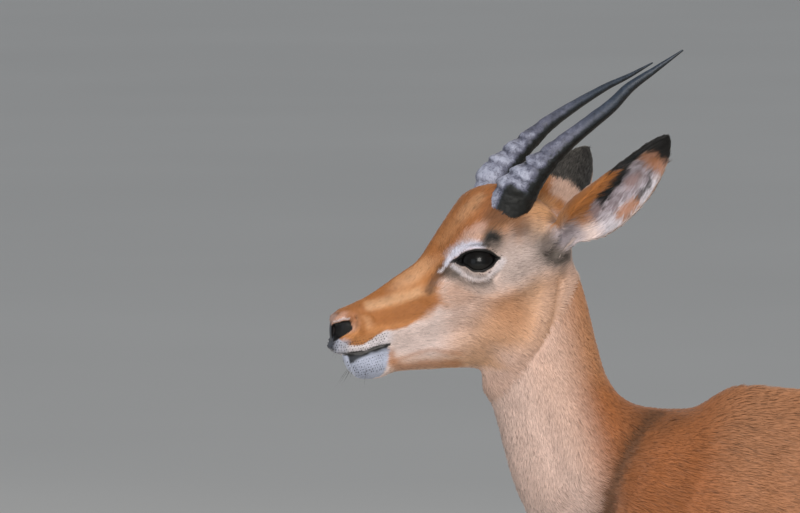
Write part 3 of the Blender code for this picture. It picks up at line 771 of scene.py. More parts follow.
BODY_WORK = (
    Stroke(SHOULDER_LINE, 0.016, -0.005),
    Stroke(shifted(SHOULDER_LINE, 0.026, 0.004), 0.018, 0.003),
    Stroke(mm(-225, 850, -208, 790, -190, 730, -170, 680), 0.016, -0.0028),
    Stroke(mm(-200, 845, -175, 790, -155, 740), 0.015, 0.002),
    Stroke(mm(-10, 835, -45, 760, -80, 680, -95, 630), 0.022, 0.0034),
    Stroke(mm(35, 810, 15, 740, 5, 670, 8, 600), 0.025, -0.0034),
    Stroke(mm(-90, 625, -45, 615, 0, 595), 0.016, -0.0022),
    Stroke(mm(435, 790, 445, 720, 435, 640), 0.025, -0.0036),
    Stroke(mm(615, 770, 625, 700, 615, 620, 605, 560), 0.012, -0.003),
    Stroke(mm(445, 590, 485, 550, 515, 505), 0.013, 0.0022),
    Stroke(mm(575, 540, 600, 480, 635, 415), 0.008, -0.0022),
)
LEG_WORK = (
    Stroke(mm(-50, 260, -48, 200, -47, 140), 0.004, -0.0016),
    Stroke(mm(656, 290, 656, 220, 653, 150), 0.0042, -0.0016),
    Stroke(mm(635, 335, 656, 313), 0.01, 0.0014),
)
# Ovals worked into the face: x, z, radii and tilt, and how far each is raised.
FACE_DENTS = (
    ((-240, 998, 18, 11, 10), -0.0016),
    ((-264, 908, 30, 28, 0), 0.0014),
    ((-403, 925, 11, 9, 30), 0.001),
    ((-320, 948, 12, 8, 30), -0.001),
    ((-247, 1023, 23, 13, 0), 0.0036),
)


def unswung(points: np.ndarray) -> np.ndarray:
    """Places as they would be with every leg straight below its shoulder or hip, mirrored to +Y."""
    straight = points.copy()
    for name, swing in SWING.items():
        side, leg = name.split("_")
        hip = HIP_HEIGHT[leg]
        own = (points[:, 1] * SIDES[side] > 0) & (points[:, 2] < hip)
        own &= points[:, 0] > 0.38 if leg == "hind" else points[:, 0] < 0.08
        straight[own, 0] -= swing * (hip - points[own, 2]) / hip
    straight[:, 1] = np.abs(points[:, 1])
    return straight


def on_head(points: np.ndarray) -> np.ndarray:
    """True where a place is on the head or an ear, in front of the line behind the jaw."""
    x, z = points[:, 0], points[:, 2]
    return (z > 0.84) & ((z - 0.846) * (0.164 - 0.256) + (x + 0.256) * (0.975 - 0.846) < 0) | (z > 0.99)


def tail_share(points: np.ndarray) -> np.ndarray:
    """How much each place belongs to the tail."""
    x, y, z = points[:, 0], np.abs(points[:, 1]), points[:, 2]
    return fade(x + 0.25 * (z - 0.74), 0.69, 0.698) * fade(y, 0.034, 0.029) * fade(z, 0.806, 0.79)


@dataclass
class Lie:
    """How deep the coat is and which way it lies, at places on the body."""

    ears: tuple = (Ear("left"), Ear("right"))

    def ear_share(self, points: np.ndarray, normals: np.ndarray) -> np.ndarray:
        """How much each place belongs to an ear."""
        share = np.zeros(len(points))
        for ear in self.ears:
            own, share_there, *_ = ear.read(points, normals)
            share[own] = share_there
        return share

    def depth(self, points: np.ndarray, normals: np.ndarray) -> np.ndarray:
        """The coat's depth: least on muzzle, ears and feet, most on the trunk and tail."""
        x, _, z = points.T
        head = fade((z - 0.846) * 0.58 - (x + 0.256) * 0.814, -0.006, 0.012) * (z > 0.83) * (x < -0.13)
        deep = 0.0036 + 0 * x
        for depth, share in (
            (0.0022, fade(z, 0.55, 0.4)),
            (0.0012, fade(z, 0.2, 0.06)),
            (0.0028, fade(z - 0.45 * x, 0.905, 0.935) * (x < 0)),
            (0.0016, head),
            (0.0009, fade(x, -0.33, -0.38) * (z > 0.8)),
            (0.005, tail_share(points)),
            (0.001, self.ear_share(points, normals)),
        ):
            deep += (depth - deep) * share
        return deep

    def stretch(self, points: np.ndarray, normals: np.ndarray) -> np.ndarray:
        """How much longer the hair is than its patch's own: in the ears, on the tail and along ridges."""
        x, y, z = points[:, 0], np.abs(points[:, 1]), points[:, 2]
        longer = 1 + 1.1 * tail_share(points) * fade(z, 0.78, 0.7)
        longer += 0.4 * fade(y, 0.02, 0.006) * (z > 0.8) * (x > -0.2) * (x < 0.05)
        longer += 0.7 * fade(np.hypot(x - 0.65, z - 0.15), 0.06, 0.03)
        off_eye = np.hypot((x - EYE_CENTRE[0] + 0.005) / 1.4, z - EYE_CENTRE[2] - 0.002)
        longer *= 1 - 0.6 * fade(off_eye, 0.034, 0.024)
        for ear in self.ears:
            own, share, along, across, inner = ear.read(points, normals)
            longer[own] += share * inner * (0.5 + 1.6 * fade(along, 0.62, 0.4) * fade(across, -0.6, 0.2))
            longer[own] *= 1 - 0.65 * share * fade(along, 0.82, 0.96)
        return longer

    def way(self, points: np.ndarray, normals: np.ndarray) -> np.ndarray:
        """The direction in which the hair lies, as a unit vector along the skin."""
        x, y, z = unswung(points).T
        neck = fade(z - 0.62 * x, 0.855, 0.9) * (x < 0.0)
        head = on_head(points).astype(float)
        rear_head = head * fade(x, -0.245, -0.2)
        way = np.tile(np.array([0.9, 0.0, -0.42]), (len(points), 1))
        for share, *direction in (
            (fade(normals[:, 2], 0.55, 0.9), 1.0, 0.0, -0.05),
            (fade(z, 0.66, 0.52), 0.3, 0.0, -1.0),
            (fade(z, 0.56, 0.52) * (y < 0.05) * (x > 0.05) * (x < 0.42), 1.0, 0.0, -0.1),
            (fade(z, 0.45, 0.38), 0.05, 0.0, -1.0),
            (fade(z, 0.06, 0.03), 0.0, 0.0, -1.0),
            (fade(x, 0.5, 0.62) * fade(z, 0.5, 0.56), 0.45, 0.0, -0.9),
            (neck, 0.42, 0.0, -0.9),
            (neck * fade(x + 0.35 * (z - 0.8), -0.16, -0.2), 0.22, 0.0, -1.0),
            (head, 1.0, 0.0, 0.1),
            (head * fade(z, 0.955, 0.925) * fade(x, -0.31, -0.27), 0.85, 0.0, -0.5),
            (head * fade(z - 0.9 * (x + 0.3), 0.955, 0.985), 0.72, 0.0, 0.7),
            (head * fade(x, -0.245, -0.215) * fade(z, 0.94, 0.97), 0.85, 0.25, 0.25),
            (rear_head * fade(z, 0.94, 0.9), 0.55, 0.0, -0.85),
            (tail_share(points), 0.08, 0.0, -1.0),
        ):
            way += share[:, None] * (np.array(direction) - way)
        off_x, off_z = x - EYE_CENTRE[0], z - EYE_CENTRE[2]
        eye = np.hypot(off_x, off_z)
        away = np.column_stack([off_x, 0 * x, off_z]) / (eye + 1e-6)[:, None]
        round_eye = (head * fade(eye, 0.04, 0.018) * 0.75 * (y > 0.02))[:, None]
        way += round_eye * (away * 0.9 + np.array([0.55, 0, 0]) - way)
        way[:, 1] *= np.sign(points[:, 1])
        for ear in self.ears:
            own, share, _, across, inner = ear.read(points, normals)
            axis, width, _ = ear.axes()
            combed = axis + np.outer(-0.55 * inner * across, width)
            combed[:, 1] *= SIDES[ear.side]
            way[own] += share[:, None] * (combed - way[own])
        way -= normals * (way * normals).sum(axis=1, keepdims=True)
        return unit(way)


@dataclass
class Skin:
    """The one skin over all of the flesh, with its lids, nostrils, lips and folds."""

    lie: Lie
    socket: EyeSocket
    fuse_cell: float = 0.004
    fine_cell: float = 0.0022
    body_share: float = 0.2  # of the fine mesh's triangles that thinning leaves
    nostril_depth: float = 0.0075
    lip_reach: float = 0.0068  # how far the upper lip is drawn forward over the lower one

    def fused_body(self) -> bpy.types.Object:
        """Trunk, neck, head and legs in one, its joints rubbed smooth and its muscles swollen."""
        whole = bmesh.new()
        lofts = [loft(rings) for rings in (TRUNK, NECK, FACE, JAW)]
        for side, sign in SIDES.items():
            for rings, leg in ((FORE_LEG, "fore"), (HIND_LEG, "hind")):
                lofts.append(loft(list(swung(rings, SWING[f"{side}_{leg}"], HIP_HEIGHT[leg], sign)), 32))
        self.gather(whole, lofts)
        body = new_object("impala_skin", whole)
        modify(body, "REMESH", mode="VOXEL", voxel_size=self.fuse_cell)
        points = points_of(body.data)
        rub(body, 60, np.sqrt(np.max([blob_share(points, blob) * blob.amount for blob in JUNCTIONS], axis=0)))
        rub(body, 6)
        points = points_of(body.data)
        for blob in SWELLS:
            points[:, 1] += np.sign(points[:, 1]) * blob_share(points, blob) * blob.amount
        place_points(body.data, points)
        return body

    @staticmethod
    def gather(whole: bmesh.types.BMesh, pieces: Iterable[bmesh.types.BMesh]) -> None:
        """Adds pieces to a bmesh and frees them."""
        for piece in pieces:
            mesh = bpy.data.meshes.new("piece")
            piece.to_mesh(mesh)
            piece.free()
            whole.from_mesh(mesh)
            bpy.data.meshes.remove(mesh)

    def add_ears_and_tail(self, body: bpy.types.Object) -> None:
        """Fuses ears and tail to the body at a finer cell and rubs their roots smooth."""
        whole = bmesh.new()
        whole.from_mesh(body.data)
        for ear in self.lie.ears:
            leaf = ear.solid()
            whole.from_mesh(leaf.data)
            bpy.data.objects.remove(leaf)
        self.gather(whole, [loft(TAIL, 24, 5)])
        whole.to_mesh(body.data)
        whole.free()
        modify(body, "REMESH", mode="VOXEL", voxel_size=self.fine_cell)
        x, y, z = points_of(body.data).T
        roots = np.hypot(np.abs(y) - EAR_ROOT.y - 0.008, x - EAR_ROOT.x - 0.004)
        roots = fade(np.hypot(roots, z - EAR_ROOT.z - 0.004), 0.03, 0.016)
        rub(body, 14, np.maximum(roots, fade(np.hypot(x - 0.672, z - 0.792), 0.034, 0.018)))
        rub(body, 5, self.lie.ear_share(points_of(body.data), normals_of(body.data)))
        rub(body, 3)

    def thin_body(self, body: bpy.types.Object) -> None:
        """Leaves the head as fine as it is and the rest coarser."""
        points = points_of(body.data)
        coarse = np.maximum(1 - on_head(points) * 1.0, fade(points[:, 0], -0.14, -0.1))
        modify(body, "DECIMATE", coarse, vertex_group_factor=1.0, ratio=self.body_share)
        rub(body, 2, fade(points_of(body.data)[:, 0], -0.2, -0.1))

    def refine_face(self, body: bpy.types.Object) -> None:
        """Splits the faces of the muzzle and round the eyes once more."""
        bm = bmesh.new()
        bm.from_mesh(body.data)
        fine = []
        for edge in bm.edges:
            middle = (edge.verts[0].co + edge.verts[1].co) / 2
            nose = middle.x < -0.36 and middle.z > 0.85
            eye = math.hypot(middle.x - EYE_CENTRE[0] + 0.003, middle.z - EYE_CENTRE[2]) < 0.031
            if nose or eye and 0.02 < abs(middle.y):
                fine.append(edge)
        bmesh.ops.subdivide_edges(bm, edges=fine, cuts=1, use_grid_fill=True, smooth=0.2)
        split_many_sided(bm)
        bm.to_mesh(body.data)
        bm.free()

    def trim_feet(self, body: bpy.types.Object) -> None:
        """Cuts each foot off at its coronet, where the claws begin."""
        bm = bmesh.new()
        bm.from_mesh(body.data)
        slope = (HEEL - CORONET) / CLAW_LENGTH
        for name, swing in SWING.items():
            side, leg = name.split("_")
            toe = TOE[leg] + swing
            own = {v for v in bm.verts if v.co.y * SIDES[side] > 0 and v.co.z < 0.08 and abs(v.co.x - toe) < 0.2}
            faces = [face for face in bm.faces if own.issuperset(face.verts)]
            # Each once and in the mesh's own order, so that every run cuts alike.
            verts = dict.fromkeys(vert for face in faces for vert in face.verts)
            edges = dict.fromkeys(edge for face in faces for edge in face.edges)
            bmesh.ops.bisect_plane(
                bm, geom=[*verts, *edges, *faces], dist=1e-6, clear_outer=True,
                plane_co=(toe, 0, CORONET - 0.001), plane_no=(slope, 0, -1.0),
            )
        bmesh.ops.holes_fill(bm, edges=[edge for edge in bm.edges if edge.is_boundary], sides=0)
        split_many_sided(bm)
        bm.to_mesh(body.data)
        bm.free()

    def work(self, body: bpy.types.Object) -> None:
        """Raises and presses in the folds and muscles, opens the nostrils and sinks the skin."""
        points, normals = points_of(body.data), normals_of(body.data)
        x, y, z = points.T
        straight = unswung(points)
        sideways = fade(np.abs(normals[:, 1]), 0.15, 0.5)
        off_ear = self.lie.ear_share(points, normals) < 0.1
        head = off_ear & (z > 0.82) & (x < -0.14)
        rise = np.zeros(len(points))
        for strokes, where in ((FACE_WORK, head), (BODY_WORK, off_ear), (LEG_WORK, z < 0.35)):
            for stroke in strokes:
                found, away, along = near_line(straight, stroke.line, stroke.half_width)
                share = fade(away, stroke.half_width, 0.0) * fade(along, 0.0, 0.12) * fade(along, 1.0, 0.88)
                rise[found] += stroke.rise * share * sideways[found] * where[found]
        for oval, height in FACE_DENTS:
            rise += height * oval_share(straight, oval, 1.0) * sideways * head
        wing = fade(straight[:, 1], 0.0045, 0.0085) * (x < -0.39) * (z > 0.89)
        rise += 0.001 * oval_share(straight, (*NOSTRIL[:2], 20, 14.5, 22), 0.5) * wing
        rise += 0.00025 * mottle(points, 0.006) * np.where(head, 0.4, 1.0)
        rise -= self.lie.depth(points, normals)
        tail_of_it = oval_share(straight, (-407.5, 920.5, 5.2, 3, 60), 0.8)
        hole = self.nostril_depth * np.maximum(oval_share(straight, NOSTRIL, 0.7), 0.6 * tail_of_it) * wing
        inward = np.column_stack([0.42 * hole, -0.9 * np.sign(y) * hole, 0.1 * hole])
        moved = points + normals * rise[:, None] + inward
        lip = fade(z, 0.8868, 0.8888) * fade(z, 0.901, 0.8925) * fade(x, -0.398, -0.414)
        moved[:, 0] -= self.lip_reach * lip
        place_points(body.data, moved)

    def set_lids(self, body: bpy.types.Object) -> None:
        """Draws the skin over each ball as lids and opens it in the almond between them."""
        points = points_of(body.data)
        flat = points.copy()
        flat[:, 1] = np.abs(points[:, 1])
        back, up, out = self.socket.local(flat).T
        near = (np.hypot(back, up) < 0.034) & (out > -0.004) & (points[:, 2] > 0.9)
        outside = -self.socket.inside(back, up)
        lid = self.socket.lid_height(back, up)
        over = 0.5 * (out + lid + np.sqrt((out - lid) ** 2 + 0.0012**2))
        skin = lid + (over - lid) * fade(outside, 0.0, 0.006)
        skin += 0.0007 * fade(outside, 0.0, 0.0015) * fade(outside, 0.004, 0.0018)
        skin -= 0.0009 * fade(outside, 0.003, 0.005) * fade(outside, 0.0075, 0.005) * (up > 0)
        skin += (out - skin) * fade(outside, 0.007, 0.015)
        skin = np.where(outside < 0, lid - 0.0042 * fade(outside, 0.0, -0.0012), skin)
        flat[near] = np.array(EYE_CENTRE) + np.column_stack([back, up, skin])[near] @ self.socket.axes()
        flat[:, 1] *= np.where(points[:, 1] < 0, -1, 1)
        place_points(body.data, flat)

    def build(self) -> bpy.types.Object:
        """The finished skin, still in the drawing's place."""
        body = self.fused_body()
        self.add_ears_and_tail(body)
        self.thin_body(body)
        self.refine_face(body)
        self.work(body)
        self.set_lids(body)
        self.trim_feet(body)
        body.data.shade_smooth()
        return body


# ---------------------------------------------------------------------------------------------------
# The markings


def linear(code: str) -> tuple:
    """A colour given as sRGB hex, in linear light."""
    values = [int(code[place : place + 2], 16) / 255 for place in (0, 2, 4)]
    return tuple(v / 12.92 if v <= 0.04045 else ((v + 0.055) / 1.055) ** 2.4 for v in values)


class Tone(Enum):
    """The coat's and the bare skin's colours, as sRGB hex."""

    FAWN = "BE9677"
    RUFOUS = "935A32"
    SADDLE = "84502B"
    ORANGE = "B47B4B"
    SAND = "D2AB85"
    RUST = "99602F"
    CREAM = "D6C3BC"
    BEIGE = "C6A797"
    ROSE = "BE9C88"
    WHITE = "DAD6DC"
    COOL_WHITE = "C4C4D2"
    # white chin hair laid greyer and bluer than WHITE: partly painted shade under the jaw
    CHIN = "A4AABB"
    ASH = "8F8078"
    SMOKE = "564E48"
    UMBER = "5A3A22"
    SOOT = "1B1917"
    NOSE_GREY = "3B3F48"
    SLATE = "0E1113"
    PITCH = "0A0909"
    PINK = "C49A86"
    EAR_WHITE = "ACA5AE"
    EAR_PINK = "8F7674"
    EAR_SHADE = "5A4748"


@dataclass
class Canvas:
    """Colours being laid over places on the body, and how bare the skin is there."""

    points: np.ndarray
    normals: np.ndarray

    def __post_init__(self) -> None:
        """Starts with fawn hair all over."""
        self.flat = unswung(self.points)
        wobble = 0.0012 * fade(self.points[:, 0], -0.25, 0.0) + 0.0008
        for seed, column in ((1, 0), (2, 2)):
            self.flat[:, column] += wobble * mottle(self.points, 0.006, seed)
            self.flat[:, column] += 3 * wobble * mottle(self.points, 0.03, seed) * (self.points[:, 0] > -0.1)
        self.colour = np.tile(np.array(linear(Tone.FAWN.value)), (len(self.points), 1))
        self.bare = np.zeros(len(self.points))
        self.sideways = fade(np.abs(self.normals[:, 1]), 0.1, 0.45)

    def lay(self, tone: Tone, share: np.ndarray) -> None:
        """Mixes a tone in by each place's share."""
        self.colour += np.clip(share, 0, 1)[:, None] * (np.array(linear(tone.value)) - self.colour)

    def line(self, tone: Tone, line: Sequence, core: float, edge: float, strength: float = 1.0) -> np.ndarray:
        """Draws a line of a tone, solid out to core and gone at edge, and returns its share."""
        found, away, _ = near_line(self.flat, line, edge)
        share = np.zeros(len(self.points))
        share[found] = fade(away, edge, core) * strength * self.sideways[found]
        self.lay(tone, share)
        return share

    def spot(self, tone: Tone, oval: Sequence[float], soft: float, strength: float = 1.0) -> None:
        """Draws an oval of a tone."""
        self.lay(tone, oval_share(self.flat, oval, soft) * strength * self.sideways)


# Where the pale colour below the cheek begins: from the lip back under the eye.
LIP_EDGE = mm(
    -421.3, 904.7, -411.9, 896.8, -403.9, 895.7, -397.1, 897.2, -389.6, 903.4, -384, 907.9, -375.9, 911.3,
    -364.7, 912.6, -354.5, 915.4, -344.2, 921.2, -337, 925.1, -329.2, 930, -325.4, 936.1, -321.8, 950.2,
    -318.8, 964.2,
)
# The chin's rear edge as z and x, and the lower edge of its dark band.
CHIN_REAR = mm(861.9, -390, 864.7, -379, 872.6, -372.5, 886.6, -370.6, 898, -370)
CHIN_BAND = mm(-410.6, 875.5, -403.2, 881.8, -393.4, 886.8, -383.5, 890.8, -375.4, 893.6)
NOSTRIL_ROOF = mm(
    -430, 915, -424.8, 917.5, -421.5, 920.8, -418, 922.3, -410.7, 923.2, -408.4, 920.8, -406.2, 916.2,
)
NOSTRIL_SILL = mm(-424.9, 900.8, -418.7, 904.2, -411.9, 908.4, -409.1, 910.6, -407.1, 912.8, -406.2, 915.6)
# The upper and lower edge of the black wedge in the eye's front corner.
WEDGE_TOP = mm(-310, 980, -306.5, 984, -301.6, 988.7, -296.1, 992.4, -287.9, 994.1)
WEDGE_LOW = mm(-309, 979.5, -301.9, 978.5, -296.9, 977.8, -295, 975.2, -291.8, 972.4)
# Lines on the ear's inside, as places along it and across it: a dark seam, and where the front edge rolls in.
EAR_SEAM = ((0.42, -0.87), (0.46, -0.78), (0.52, -0.74), (0.58, -0.76), (0.64, -0.65), (0.69, -0.41))
EAR_ROLL = (
    (0.2, -0.25), (0.28, 0.03), (0.36, 0.2), (0.43, 0.33), (0.49, 0.44), (0.56, 0.64), (0.63, 1.0),
    (0.8, 1.15),
)


@dataclass
class Markings:
    """Where an impala is rufous, fawn, white and black, with painted shade in creases, nostrils and mouth and
    painted highlights on a ridge of the face, the nape and the back.
    """

    lie: Lie
    socket: EyeSocket

    def paint(self, points: np.ndarray, normals: np.ndarray) -> tuple:
        """Reads the markings at places on the skin.

        Args:
            points: The places, one row each.
            normals: The skin's outward directions there.

        Returns:
            One row of linear colour for each place, and how bare the skin is there.
        """
        canvas = Canvas(points, normals)
        self.trunk(canvas)
        self.legs(canvas)
        self.rump(canvas)
        self.neck(canvas)
        head = on_head(points)
        sub = Canvas(points[head], normals[head])
        sub.colour = canvas.colour[head]
        self.head(sub)
        self.muzzle(sub)
        self.eyes(sub)
        canvas.colour[head], canvas.bare[head] = sub.colour, sub.bare
        self.ears(canvas)
        return np.clip(canvas.colour, 0, 1), canvas.bare

    def trunk(self, canvas: Canvas) -> None:
        """A rufous back over paler flanks and a white belly, with a painted sheen on the back behind the shoulder.
        """
        lay = canvas.lay
        x, y, z = canvas.flat.T
        nz = canvas.normals[:, 2]
        body = (z > 0.4) & (x > -0.3)
        back = fade(z - 0.03 * np.sin(x * 5.5), 0.6, 0.645) * body
        lay(Tone.RUFOUS, back)
        lay(Tone.SADDLE, back * fade(z + 0.02 * np.sin(x * 9), 0.735, 0.8) * 0.85)
        lay(Tone.SADDLE, 0.5 * back * fade(mottle(canvas.points, 0.06, 5), -0.1, 0.7))
        # painted sheen: the back behind the shoulder is laid lighter, as if lit
        lay(Tone.FAWN, 0.25 * back * fade(x, 0.2, 0.04) * fade(x, -0.07, -0.01))
        lay(Tone.CREAM, fade(z, 0.585, 0.555) * fade(y, 0.125, 0.1) * body * 0.5)
        belly = fade(-nz, 0.35, 0.75) * fade(z, 0.6, 0.56) * (z > 0.44) * (x > -0.05) * (x < 0.56)
        lay(Tone.WHITE, belly * 0.9)

    def legs(self, canvas: Canvas) -> None:
        """Fawn legs, white inside, darker in front and above the hooves, black behind the hind pasterns."""
        lay = canvas.lay
        x, _, z = canvas.flat.T
        inward = fade(-canvas.normals[:, 1] * np.sign(canvas.points[:, 1]), 0.15, 0.6)
        low = fade(z, 0.56, 0.46)
        lay(Tone.FAWN, low * (z < 0.6))
        lay(Tone.WHITE, inward * fade(z, 0.62, 0.55) * fade(z, 0.12, 0.22) * 0.85)
        lay(Tone.RUFOUS, fade(-canvas.normals[:, 0], 0.3, 0.9) * fade(z, 0.48, 0.36) * 0.45)
        lay(Tone.UMBER, fade(z, 0.085, 0.05) * 0.6)
        lay(Tone.ASH, fade(np.abs(z - 0.105), 0.03, 0.012) * 0.35)
        tuft = fade(np.hypot((x - 0.668) / 0.9, (z - 0.15) / 1.6), 0.022, 0.013) * (x > 0.6) * (z < 0.25)
        lay(Tone.SOOT, tuft * fade(canvas.normals[:, 0], -0.3, 0.2))

    def rump(self, canvas: Canvas) -> None:
        """White under the tail between two black stripes, and a black line down the tail."""
        lay = canvas.lay
        x, y, z = canvas.flat.T
        rear = fade(canvas.normals[:, 0], 0.05, 0.45) * (x > 0.6) * fade(z, 0.775, 0.76)
        lay(Tone.WHITE, rear * fade(y, 0.058, 0.05) * fade(z, 0.5, 0.54))
        stripe = fade(np.abs(y - 0.061), 0.0095, 0.0055) * fade(z, 0.575, 0.61) * fade(z, 0.765, 0.75)
        lay(Tone.SOOT, stripe * fade(canvas.normals[:, 0], 0.15, 0.4) * (x > 0.6))
        tail = tail_share(canvas.points)
        lay(Tone.WHITE, np.maximum(tail, fade(x + 0.25 * (z - 0.74), 0.676, 0.684) * fade(z, 0.8, 0.77)))
        lay(Tone.RUFOUS, tail * fade(z, 0.745, 0.77) * fade(y, 0.018, 0.012))
        stripe = fade(y, 0.0085, 0.0055) * fade(canvas.normals[:, 0], 0.1, 0.5) * fade(z, 0.545, 0.565)
        lay(Tone.SOOT, tail * stripe)

    def neck(self, canvas: Canvas) -> None:
        """Pinkish beige in front, rufous along the nape and down to the shoulder, with a painted sheen along the
        top of the nape and a painted shadow along the shoulder's crease.
        """
        lay, line = canvas.lay, canvas.line
        x, _, z = canvas.flat.T
        neck = fade(z - 0.75 * x, 0.815, 0.865) * fade(x, 0.02, -0.06)
        front = fade(x + 0.185 * (z - 0.85), -0.152, -0.203) * neck
        lay(Tone.RUFOUS, neck)
        lay(Tone.ORANGE, 0.4 * neck * fade(z, 0.82, 0.9))
        # painted sheen: the top of the nape is laid lighter, as if lit
        lay(Tone.FAWN, 0.28 * neck * fade(z, 0.84, 0.88))
        lay(Tone.UMBER, 0.45 * neck * fade(np.hypot((x + 0.085) / 1.8, z - 0.832), 0.04, 0.012))
        lay(Tone.BEIGE, front)
        lay(Tone.CREAM, front * 0.35 * fade(x + 0.5 * (z - 0.8), -0.17, -0.22))
        lay(Tone.CREAM, fade(z, 0.745, 0.7) * fade(x, -0.17, -0.2) * 0.3)
        # painted shadow: dark brown along the crease in front of the shoulder blade
        line(Tone.UMBER, SHOULDER_LINE, 0.004, 0.026, 0.45)
        line(Tone.UMBER, SHOULDER_LINE, 0.002, 0.01, 0.9)
        ridge = fade(np.hypot((x + 0.012) / 2.0, z - 0.852), 0.016, 0.006)
        lay(Tone.UMBER, ridge * 0.55)

    def head(self, canvas: Canvas) -> None:
        """Orange and rufous above, pale below the cheek, grey before the ear, with painted light and shade: a
        highlight along the ridge above the fold, and shadows in the jaw's crease, behind the chin and under the
        ear's root.
        """
        lay, line, spot = canvas.lay, canvas.line, canvas.spot
        x, y, z = canvas.flat.T
        nz = canvas.normals[:, 2]
        lay(Tone.ORANGE, np.ones(len(x)))
        # painted highlight: the band of the bridge above the fold is laid lighter, as if lit
        bridge = fade(z - 0.62 * (x + 0.36), 0.943, 0.958) * fade(x, -0.285, -0.335) * fade(x, -0.425, -0.385)
        lay(Tone.SAND, 0.6 * bridge)
        brow = fade(z - 0.75 * (x + 0.32), 0.968, 0.99) * (x < -0.22)
        lay(Tone.RUFOUS, 0.75 * brow)
        lay(Tone.UMBER, 0.45 * brow * fade(mottle(canvas.points * (1, 1, 0.6), 0.006, 41), 0.0, 0.8))
        line(Tone.SAND, mm(-318, 1000, -298, 1023, -280, 1042), 0.001, 0.008, 0.35)
        lay(Tone.RUST, 0.8 * fade(nz + 0.4 * np.abs(canvas.normals[:, 0]), 0.55, 0.95) * fade(y, 0.02, 0.006))
        # painted highlight along the ridge of the fold
        line(Tone.SAND, shifted(FOLD, 0.0, 0.0015), 0.001, 0.008, 0.6)
        line(Tone.RUST, mm(-398, 923, -380, 922.5, -360, 928, -330, 940), 0.003, 0.01, 0.7)
        line(Tone.RUST, mm(-335, 974, -320, 995, -306, 1016), 0.002, 0.011, 0.5)
        edge = level(x, LIP_EDGE)
        soft = 0.01 * fade(x, -0.35, -0.325)
        under = fade(z - edge, 0.0012 + soft, -0.0022 - soft) * (x < -0.16)
        flecks = fade(mottle(canvas.points * (0.6, 1, 1.6), 0.009, 43), 0.0, 0.7)
        lay(Tone.RUFOUS, 0.45 * flecks * fade(z - edge, 0.018, 0.006) * (x < -0.32))
        line(Tone.RUST, mm(-391.8, 923, -379.4, 924.7, -364.4, 925.5, -349, 929.2, -336.8, 934), 0.002, 0.011, 0.8)
        lay(Tone.SAND, 0.35 * fade(np.hypot((x + 0.4) / 1.4, z - 0.918), 0.012, 0.004))
        streak = 0.0065 * mottle(canvas.points * (1, 1, 2.4), 0.006, 42)
        behind = fade(x + 0.45 * (z - 0.945) + streak, -0.327, -0.306) * (x < -0.16)
        behind *= fade(z - 0.35 * (x + 0.31), 0.975, 0.962)
        pale = np.maximum(under * fade(z, 0.942, 0.93), behind)
        lay(Tone.CREAM, pale)
        tan = fade(x + 0.6 * (0.92 - z), -0.312, -0.262)
        lay(Tone.BEIGE, fade(x, -0.33, -0.3) * fade(z, 0.985, 0.965) * (x < -0.16) * 0.75)
        lay(Tone.FAWN, tan * fade(z, 0.985, 0.955) * 0.9)
        spot(Tone.ORANGE, (-256, 922, 30, 26, -50), 1.2, 0.25)
        spot(Tone.RUST, (-252, 935, 22, 17, -50), 1.2, 0.3)
        spot(Tone.ROSE, (-302, 950, 18, 13, 20), 1.0, 0.7)
        spot(Tone.SAND, (-345, 966, 24, 8.5, 33), 1.0, 0.35)
        lay(Tone.FAWN, 0.55 * fade(z, 0.893, 0.878) * (x > -0.37))
        throat = fade(x + 0.8 * (z - 0.87), -0.262, -0.24) * fade(z, 0.905, 0.88)
        lay(Tone.BEIGE, np.maximum(throat, fade(z, 0.8765, 0.87) * (x > -0.3)))
        line(Tone.RUST, mm(-370.5, 879, -332.1, 890.8, -316, 889, -301.3, 887.2), 0.0005, 0.004, 0.35)
        # partly the tan streak behind the chin, partly painted shade in the crease between chin and jaw
        line(Tone.RUST, mm(-369, 888, -365, 878, -356, 874, -330, 876, -300, 876), 0.001, 0.008, 0.6)
        line(Tone.ROSE, shifted(JAW_LINE, -0.01, 0.0), 0.002, 0.012, 0.5)
        # painted shadow in the crease behind the jaw
        line(Tone.UMBER, JAW_LINE, 0.0005, 0.006, 0.45)
        line(Tone.BEIGE, shifted(JAW_LINE, 0.012, -0.002), 0.004, 0.014, 0.7)
        spot(Tone.CREAM, (-230, 990, 34, 28, 10), 1.1, 0.55)
        spot(Tone.ASH, (-235, 995, 30, 24, 10), 1.0, 0.55)
        spot(Tone.SAND, (-213, 1025, 26, 20, 30), 1.0, 0.45)
        # painted shade in the hollow under the ear's root
        spot(Tone.SMOKE, (-208, 989, 25, 17, -35), 0.9, 0.75)
        spot(Tone.SMOKE, (-202, 982, 16, 8, -15), 0.8, 0.9)
        line(Tone.ORANGE, mm(-248, 1023, -246, 1012, -245, 1001), 0.001, 0.006, 0.6)
        spot(Tone.UMBER, (-260, 1029, 24, 13, 40), 1.0, 0.8)
        spot(Tone.UMBER, (-243, 1018, 10, 12, 0), 1.0, 0.6)
        spot(Tone.EAR_WHITE, (-195, 1008, 14, 16, 60), 1.0, 0.8)
        spot(Tone.UMBER, (-203, 1024, 10, 7, 20), 1.0, 0.55)
        crown = fade(y, 0.03, 0.018) * fade(z, 1.03, 1.045) * fade(x, -0.255, -0.235)
        lay(Tone.UMBER, crown * 0.7)

